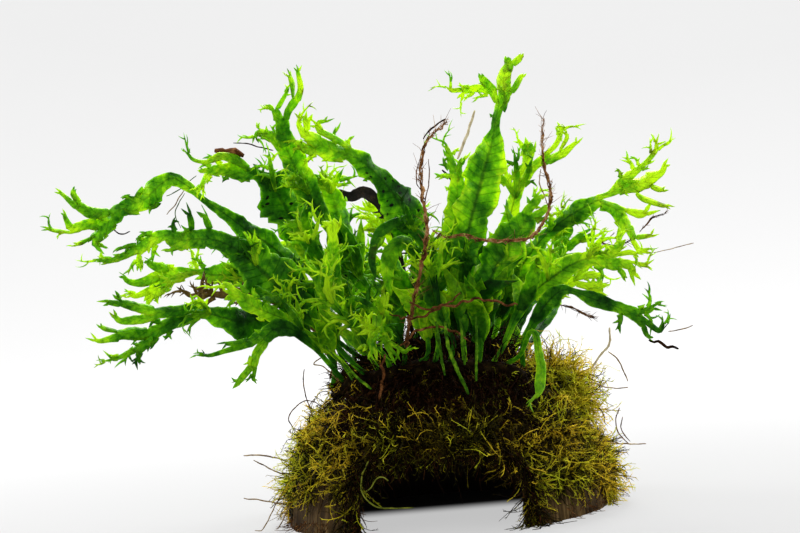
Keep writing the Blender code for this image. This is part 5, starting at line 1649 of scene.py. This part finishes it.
def moss_clump(name, material):
    dice = np.random.default_rng(sorted(MOSS).index(name) + FIRST_MOSS_SEED)
    strands, faces, layer = moss_strands(name, dice)
    bed, bed_faces = moss_bed(name)
    faces += shifted(bed_faces, len(strands))
    # Painted shade: the dense bed inside the clump takes the darkest moss tone.
    layer = np.concatenate([layer, np.zeros((len(bed), 2))])
    places = np.concatenate([strands, bed])
    mesh_piece(name + "_shoots", places, faces, material, [name], {"strand": layer})


def root_batch(starts, headings, lengths, curl, droop, lift, most, thickness, dice):
    """Routes and half widths of a batch of wiry roots."""
    routes = wander(starts, headings, lengths, ROOT_RINGS, curl, droop, dice, lift, most)
    return routes, thickness[:, None] * np.linspace(1.0, 0.35, ROOT_RINGS)[None, :]


def mat_roots(dice):
    """The roots that lie over the crown."""
    starts, outward = husk_seeds(-180, 180, 0, 46, MAT_ROOTS, dice)
    starts = starts + outward * dice.uniform(0.8, 4.2, (MAT_ROOTS, 1))
    headings = dice.normal(size=starts.shape)
    headings -= outward * (headings * outward).sum(axis=1, keepdims=True)
    headings += outward * 0.15
    lengths, thickness = dice.uniform(18, 46, MAT_ROOTS), dice.uniform(0.2, 0.5, MAT_ROOTS)
    return root_batch(starts, headings, lengths, 0.06, 0.035, 0.9, 4.0, thickness, dice)


def curtain_roots(dice):
    """The roots that hang down over the front, across the top of the mouth."""
    starts, outward = husk_seeds(-146, -34, 24, 46, CURTAIN_ROOTS, dice)
    starts = starts + outward * dice.uniform(2.0, 9.0, (CURTAIN_ROOTS, 1))
    headings = outward * 0.25 + unit(downhill(outward)) * 0.9 + dice.normal(size=starts.shape) * 0.38
    level = np.clip(1.25 - np.abs(starts[:, 0] - MOUTH_MIDDLE) / 34, 0.15, 1.0)
    lift = 0.8 + 5.7 * dice.random(CURTAIN_ROOTS) * level
    lengths = (10 + 44 * dice.random(CURTAIN_ROOTS) ** 1.4) * (0.4 + 0.6 * level)
    hung, away = arch_seeds(FRINGE_ROOTS, dice)
    starts[:FRINGE_ROOTS], lengths[:FRINGE_ROOTS] = hung, dice.uniform(7, 20, FRINGE_ROOTS)
    headings[:FRINGE_ROOTS] = away * 0.3 + DOWN * 0.9 + dice.normal(size=hung.shape) * 0.35
    thickness = dice.uniform(0.14, 0.38, CURTAIN_ROOTS)
    return root_batch(starts, headings, lengths, 0.10, 0.05, lift, lift + 4.0 * level, thickness, dice)


def standing_roots(dice):
    """The roots that stand up from the rhizomes between the petioles."""
    starts, outward = [], []
    for name in dice.choice(("front", "middle", "middle", "back"), STANDING_ROOTS):
        middle, out = along_rhizome(str(name), dice.random() * 0.999)
        starts.append(middle + out * RHIZOME_RADIUS * dice.uniform(-0.6, 1.0))
        outward.append(out)
    starts, outward = np.array(starts), np.array(outward)
    headings = outward * 0.9 + dice.normal(size=outward.shape) * 0.75
    inner = np.clip(1 - np.abs(starts[:, 0]) / 40, 0.0, 1.0)
    lengths = dice.uniform(5, 9, STANDING_ROOTS) + 26 * inner * dice.random(STANDING_ROOTS)
    thickness = dice.uniform(0.14, 0.34, STANDING_ROOTS)
    return root_batch(starts, headings, lengths, 0.13, 0.01, 2.0, None, thickness, dice)


def crown_roots(material):
    """The wiry roots that grip the crown, stand up between the petioles and hang down over the front."""
    dice = np.random.default_rng(ROOT_SEED)
    batches = [mat_roots(dice), curtain_roots(dice), standing_roots(dice)]
    routes, thin = (np.concatenate(parts) for parts in zip(*batches))
    faces = tube_skin(len(routes), ROOT_RINGS, 3)
    mesh_piece("crown_roots", tubes(routes, thin), faces, material, ["root_mat"])


def husk_fibres(material):
    """Torn fibres round the rim and along the mouth's edge."""
    dice = np.random.default_rng(FIBRE_SEED)
    angle = np.radians(dice.uniform(0, 360, RIM_FIBRES))
    height = dice.uniform(0.6, 6.0, RIM_FIBRES)
    rim = np.stack([SHELL_RADIUS * np.cos(angle), SHELL_RADIUS * np.sin(angle), height], axis=1)
    rim = rim[~((rim[:, 1] < 0) & (np.abs(rim[:, 0] - MOUTH_MIDDLE) < MOUTH_WIDTH / 2))]
    arch = []
    for turn in dice.uniform(0, math.pi, MOUTH_FIBRES):
        x = MOUTH_MIDDLE + MOUTH_WIDTH / 2 * math.cos(turn)
        z = JAMB_HEIGHT + (MOUTH_HEIGHT - JAMB_HEIGHT) * math.sin(turn)
        z *= 1.0 if 0.2 < turn < math.pi - 0.2 else dice.random()
        depth = SHELL_RADIUS * math.sqrt(1 - (z / SHELL_HEIGHT) ** 2)
        arch.append((x, -math.sqrt(max(0.0, depth * depth - x * x)) + dice.uniform(-0.4, 4.0), z - 0.2))
    starts = np.concatenate([rim, np.array(arch)])
    count = len(starts)
    headings = way_out(starts) * 0.35 + DOWN * 0.6 + dice.normal(size=starts.shape) * 0.45
    lengths = dice.uniform(2, 8, count)
    steps = np.linspace(0, 1, FIBRE_RINGS)
    bends = dice.normal(size=starts.shape)[:, None, :] * 0.25 * (steps**2)[None, :, None]
    drawn = (unit(headings)[:, None, :] * steps[None, :, None] + bends) * lengths[:, None, None]
    routes = starts[:, None, :] + drawn
    routes[..., 2] = np.maximum(routes[..., 2], STRAND_FLOOR)
    thin = dice.uniform(0.12, 0.24, count)[:, None] * np.linspace(1.0, 0.4, FIBRE_RINGS)[None, :]
    faces = tube_skin(count, FIBRE_RINGS, 3)
    mesh_piece("husk_fibres", tubes(routes, thin), faces, material)


# Single routes: the loose roots, the hairs and the rhizomes

def eased_route(route, step):
    """Places along a smooth curve through a route's places, about a step apart."""
    pairs = (route[0], route[1]), (route[-1], route[-2])
    ends = [[2 * a - b for a, b in zip(near, far)] for near, far in pairs]
    chain = [ends[0], *route, ends[1]]
    places = [Vector(route[0])]
    for index in range(1, len(chain) - 2):
        span = (Vector(chain[index + 1]) - Vector(chain[index])).length
        count = max(1, math.ceil(span / step))
        places += [Vector(curved(*chain[index - 1:index + 3], tick / count)) for tick in range(1, count + 1)]
    return places


def drift(place):
    """Smooth noise with a value for each axis."""
    return Vector(noise.noise(place + Vector((shift, 0.0, 0.0))) for shift in (0.0, 31.0, 67.0))


def rooty_piece(name, route, radius, material, sides, ends, stands_for=(), knobs=0.18, crooked=0.0):
    """One root: a tapering tube with knobs along it, that wanders a little off its route."""
    places = eased_route(route, max(0.8, radius * 1.6))
    places = [place + drift(place * 0.35) * crooked for place in places]
    count = len(places)
    profile = []
    for index, place in enumerate(places):
        taper = ends + (1 - ends) * math.sin(math.pi * min(1.0, index / (count - 1))) ** 0.4
        profile.append(radius * taper * (1 + knobs * noise.noise(place * 0.9) * 2))
    routes = np.array([[tuple(place) for place in places]])
    tube = tubes(routes, np.array([profile]), sides)
    mesh_piece(name, tube, tube_skin(1, count, sides), material, stands_for)


def loose_root(name, radius, route, material):
    """A knotty strand with thinner ones winding round it and short bristles all along."""
    dice = np.random.default_rng(len(name) * 7 + round(radius * 100))
    middle = np.array([tuple(place) for place in eased_route(route, 1.0)])
    count = len(middle)
    steps = np.arange(count)
    taper = np.sin(np.pi * np.clip(steps / (count - 1), 0.04, 0.96)) ** 0.4
    sway = [[noise.noise(Vector((step * 0.35, axis * 9.0, radius))) for axis in range(3)] for step in steps]
    wobble = np.array(sway)
    routes, wide = [middle + wobble * radius], [radius * 0.46 * taper * (1 + wobble[:, 0])]
    for strand in range(3):
        turn = steps * 0.55 + strand * math.tau / 3
        ring = np.stack([np.cos(turn), np.sin(turn), np.cos(turn + 1.3)], axis=1)
        routes.append(middle + ring * radius * (0.55 + wobble[:, 1:2]))
        wide.append(radius * dice.uniform(0.16, 0.26) * taper)
    strands = tubes(np.array(routes), np.array(wide), 5)
    hairs = round(count * BRISTLES)
    picked = dice.integers(0, count, hairs)
    starts, along = middle[picked], unit(np.gradient(middle, axis=0))[picked]
    headings = unit(along * 1.3 + dice.normal(size=starts.shape) * 0.6)
    reach = radius * dice.uniform(1.5, 6.0, hairs)[:, None, None]
    bends = dice.normal(size=starts.shape)[:, None, :] * np.linspace(0, 0.5, 3)[None, :, None] ** 2
    drawn = (headings[:, None, :] * np.linspace(0, 1, 3)[None, :, None] + bends) * reach
    bristles = starts[:, None, :] + drawn
    thin = np.tile(np.array([0.13, 0.10, 0.05]), (hairs, 1))
    places = np.concatenate([strands, tubes(bristles, thin)])
    faces = tube_skin(4, count, 5) + shifted(tube_skin(hairs, 3, 3), len(strands))
    mesh_piece(name + "_strand", places, faces, material, [name])


def loose_roots(strands):
    for name, (radius, route) in ROOTS.items():
        material = strands["loop" if name in LOOPING_ROOTS else "bark"]
        loose_root(name, radius, [tuple(spot(*place)) for place in route], material)


def hairs(strands):
    for name, (colour, radius, route) in HAIRS.items():
        places = [(x, y, max(z, HAIR_FLOOR)) for x, y, z in (spot(*place) for place in route)]
        crooked = CROOKED if radius >= STOUT_HAIR and colour == "rust" else NEARLY_STRAIGHT
        rooty_piece(name, places, radius, strands[colour], 5, 0.5, crooked=crooked)


def rhizome(name, material):
    """A creeping stem, scaly and lumpy, with its two ends bent down a little to the sides."""
    count = 2 * len(RHIZOMES[name])
    places = [along_rhizome(name, step / (count - 1))[0] for step in range(count)]
    for end in (places[0], places[-1]):
        outward = Vector((end.x, end.y, 0.0)).normalized()
        end += outward * RHIZOME_END + Vector((0.0, 0.0, -RHIZOME_END))
    route = [tuple(place) for place in places]
    stands_for = [f"{name}_rhizome"]
    rooty_piece(f"{name}_creeper", route, RHIZOME_RADIUS, material, 14, 0.6, stands_for, 0.22)


# The husk

def husk_dome(radius, height, rough, side):
    """The rings of one face of the dome, crown first, with each place's UV."""
    places, layer = [], []
    for ring in range(HUSK_RINGS + 1):
        slope = math.radians(90.0) * ring / HUSK_RINGS
        for turn in range(HUSK_TURNS):
            angle = math.tau * turn / HUSK_TURNS
            way = Vector((math.cos(angle), math.sin(angle), 0.0)) * math.sin(slope)
            place = Vector((radius * way.x, radius * way.y, height * math.cos(slope)))
            coarse = noise.noise(Vector((way.x * 38, way.y * 38, slope * 1.4)))
            fibre = coarse + 0.5 * noise.noise(Vector((way.x * 90, way.y * 90, slope * 3.0)))
            lumps = noise.noise(place * 0.07) * 1.2
            wear = max(0.0, slope - 1.35) * noise.noise(Vector((way.x * 9, way.y * 9, 5.0))) * 4
            place += dome_normal(place) * rough * (fibre * 0.45 + lumps * 0.5 - 0.5 + wear)
            place.z = max(place.z, 0.0)
            places.append(place)
            layer.append((turn / HUSK_TURNS, side + slope / 2))
    return places, layer


def coconut_husk(material):
    outside, outside_layer = husk_dome(SHELL_RADIUS, SHELL_HEIGHT, 1.0, 0.0)
    inside, inside_layer = husk_dome(SHELL_RADIUS - SHELL_WALL, SHELL_HEIGHT - SHELL_WALL, -0.35, 2.0)
    count = len(outside)
    faces = [[a, d, c, b] for a, b, c, d in quads(0, HUSK_RINGS + 1, HUSK_TURNS)]
    faces += [[b, c, d, a] for a, b, c, d in quads(count, HUSK_RINGS + 1, HUSK_TURNS)]
    over = HUSK_RINGS * HUSK_TURNS
    under = over + count
    for turn in range(HUSK_TURNS):
        ahead = (turn + 1) % HUSK_TURNS
        faces.append([over + turn, under + turn, under + ahead, over + ahead])
    layers = {"fibre": outside_layer + inside_layer}
    husk = mesh_piece("husk", outside + inside, faces, material, ["coconut_shell"], layers)
    weld = husk.modifiers.new("Crown", "WELD")
    weld.merge_threshold = 0.0001
    cutter = mouth_cutter(material)
    cut = husk.modifiers.new("Cave mouth", "BOOLEAN")
    cut.operation = "DIFFERENCE"
    cut.solver = "EXACT"
    cut.object = cutter
    carved = modified(husk)
    husk.modifiers.clear()
    husk.data = carved
    carved.set_sharp_from_angle(angle=SMOOTH_ANGLE)
    bpy.data.objects.remove(cutter)


def mouth_cutter(material):
    """The arch, drawn straight in from the front, with a torn edge."""
    half = MOUTH_WIDTH / 2
    outline = [(MOUTH_MIDDLE + half, -5.0)]
    for step in range(ARCH_STEPS + 1):
        angle = math.pi * step / ARCH_STEPS
        torn = 1 + 0.025 * noise.noise(Vector((step * 0.31, 2.0, 0.0)))
        height = JAMB_HEIGHT + (MOUTH_HEIGHT - JAMB_HEIGHT) * math.sin(angle) * torn
        outline.append((MOUTH_MIDDLE + half * math.cos(angle), height))
    outline.append((MOUTH_MIDDLE - half, -5.0))
    count = len(outline)
    places = [(x, y, z) for y in MOUTH_DEPTH for x, z in outline]
    faces = [list(range(count)), list(range(2 * count - 1, count - 1, -1))]
    faces += [[step, step + count, (step + 1) % count + count, (step + 1) % count] for step in range(count)]
    mesh = bpy.data.meshes.new("mouth_cutter")
    mesh.from_pydata(in_frame(places).tolist(), [], faces)
    mesh.validate()
    mesh.materials.append(material)
    return new_object("mouth_cutter", mesh)


# The studio

def studio():
    """A pale floor that sweeps up into a round backdrop."""
    profile = [(FLOOR_RADIUS, 0.0)]
    for step in range(1, BEND_STEPS + 1):
        angle = math.radians(90.0) * step / BEND_STEPS
        radius = FLOOR_RADIUS + BEND_RADIUS * math.sin(angle)
        profile.append((radius, BEND_RADIUS - BEND_RADIUS * math.cos(angle)))
    profile.append((FLOOR_RADIUS + BEND_RADIUS, WALL_TOP))
    places = [(0.0, 0.0, 0.0)]
    for radius, height in profile:
        for turn in range(SWEEP_SIDES):
            angle = math.tau * turn / SWEEP_SIDES
            places.append((radius * math.cos(angle), radius * math.sin(angle), height))
    faces = [[0, 1 + turn, 1 + (turn + 1) % SWEEP_SIDES] for turn in range(SWEEP_SIDES)]
    faces += [[a, d, c, b] for a, b, c, d in quads(1, len(profile), SWEEP_SIDES)]
    mesh = bpy.data.meshes.new("sweep")
    mesh.from_pydata(places, [], faces)
    mesh.shade_smooth()
    mesh.materials.append(tent_material())
    new_object("sweep", mesh)


def lights():
    for name, (place, size, power) in LIGHTS.items():
        data = bpy.data.lights.new(name, "AREA")
        data.shape = "DISK"
        data.size = size
        data.energy = power
        light = new_object(name, data)
        light.location = place
        light.rotation_euler = (PLANT_MIDDLE - Vector(place)).to_track_quat("-Z", "Y").to_euler()
    world = bpy.data.worlds.new("studio")
    bpy.context.scene.world = world
    world.use_nodes = True
    background = world.node_tree.nodes["Background"]
    background.inputs["Color"].default_value = WHITE
    background.inputs["Strength"].default_value = SKY_STRENGTH
    bpy.context.scene.view_settings.view_transform = "Standard"
    bpy.context.scene.view_settings.look = "None"


def camera():
    data = bpy.data.cameras.new("camera")
    data.sensor_width = SENSOR_WIDTH
    data.lens = SENSOR_WIDTH * VIEW_DISTANCE / VIEW_WIDTH
    data.clip_start = 0.01
    eye = new_object("camera", data)
    turn = Matrix((RIGHT, UPWARD, -AHEAD)).transposed()
    eye.matrix_world = Matrix.Translation(in_frame(EYE)) @ turn.to_4x4()
    bpy.context.scene.camera = eye


def main():
    camera()
    studio()
    lights()
    strands = {key: strand_material(*colours) for key, colours in STRAND_COLOURS.items()}
    coconut_husk(husk_material())
    husk_fibres(strands["bark"])
    crown_roots(strands["dark"])
    for name in RHIZOMES:
        rhizome(name, strands["stem"])
    grow_fronds()
    loose_roots(strands)
    hairs(strands)
    moss = moss_material("java_moss")
    for name in MOSS:
        moss_clump(name, moss)
    crown_moss(moss)


main()
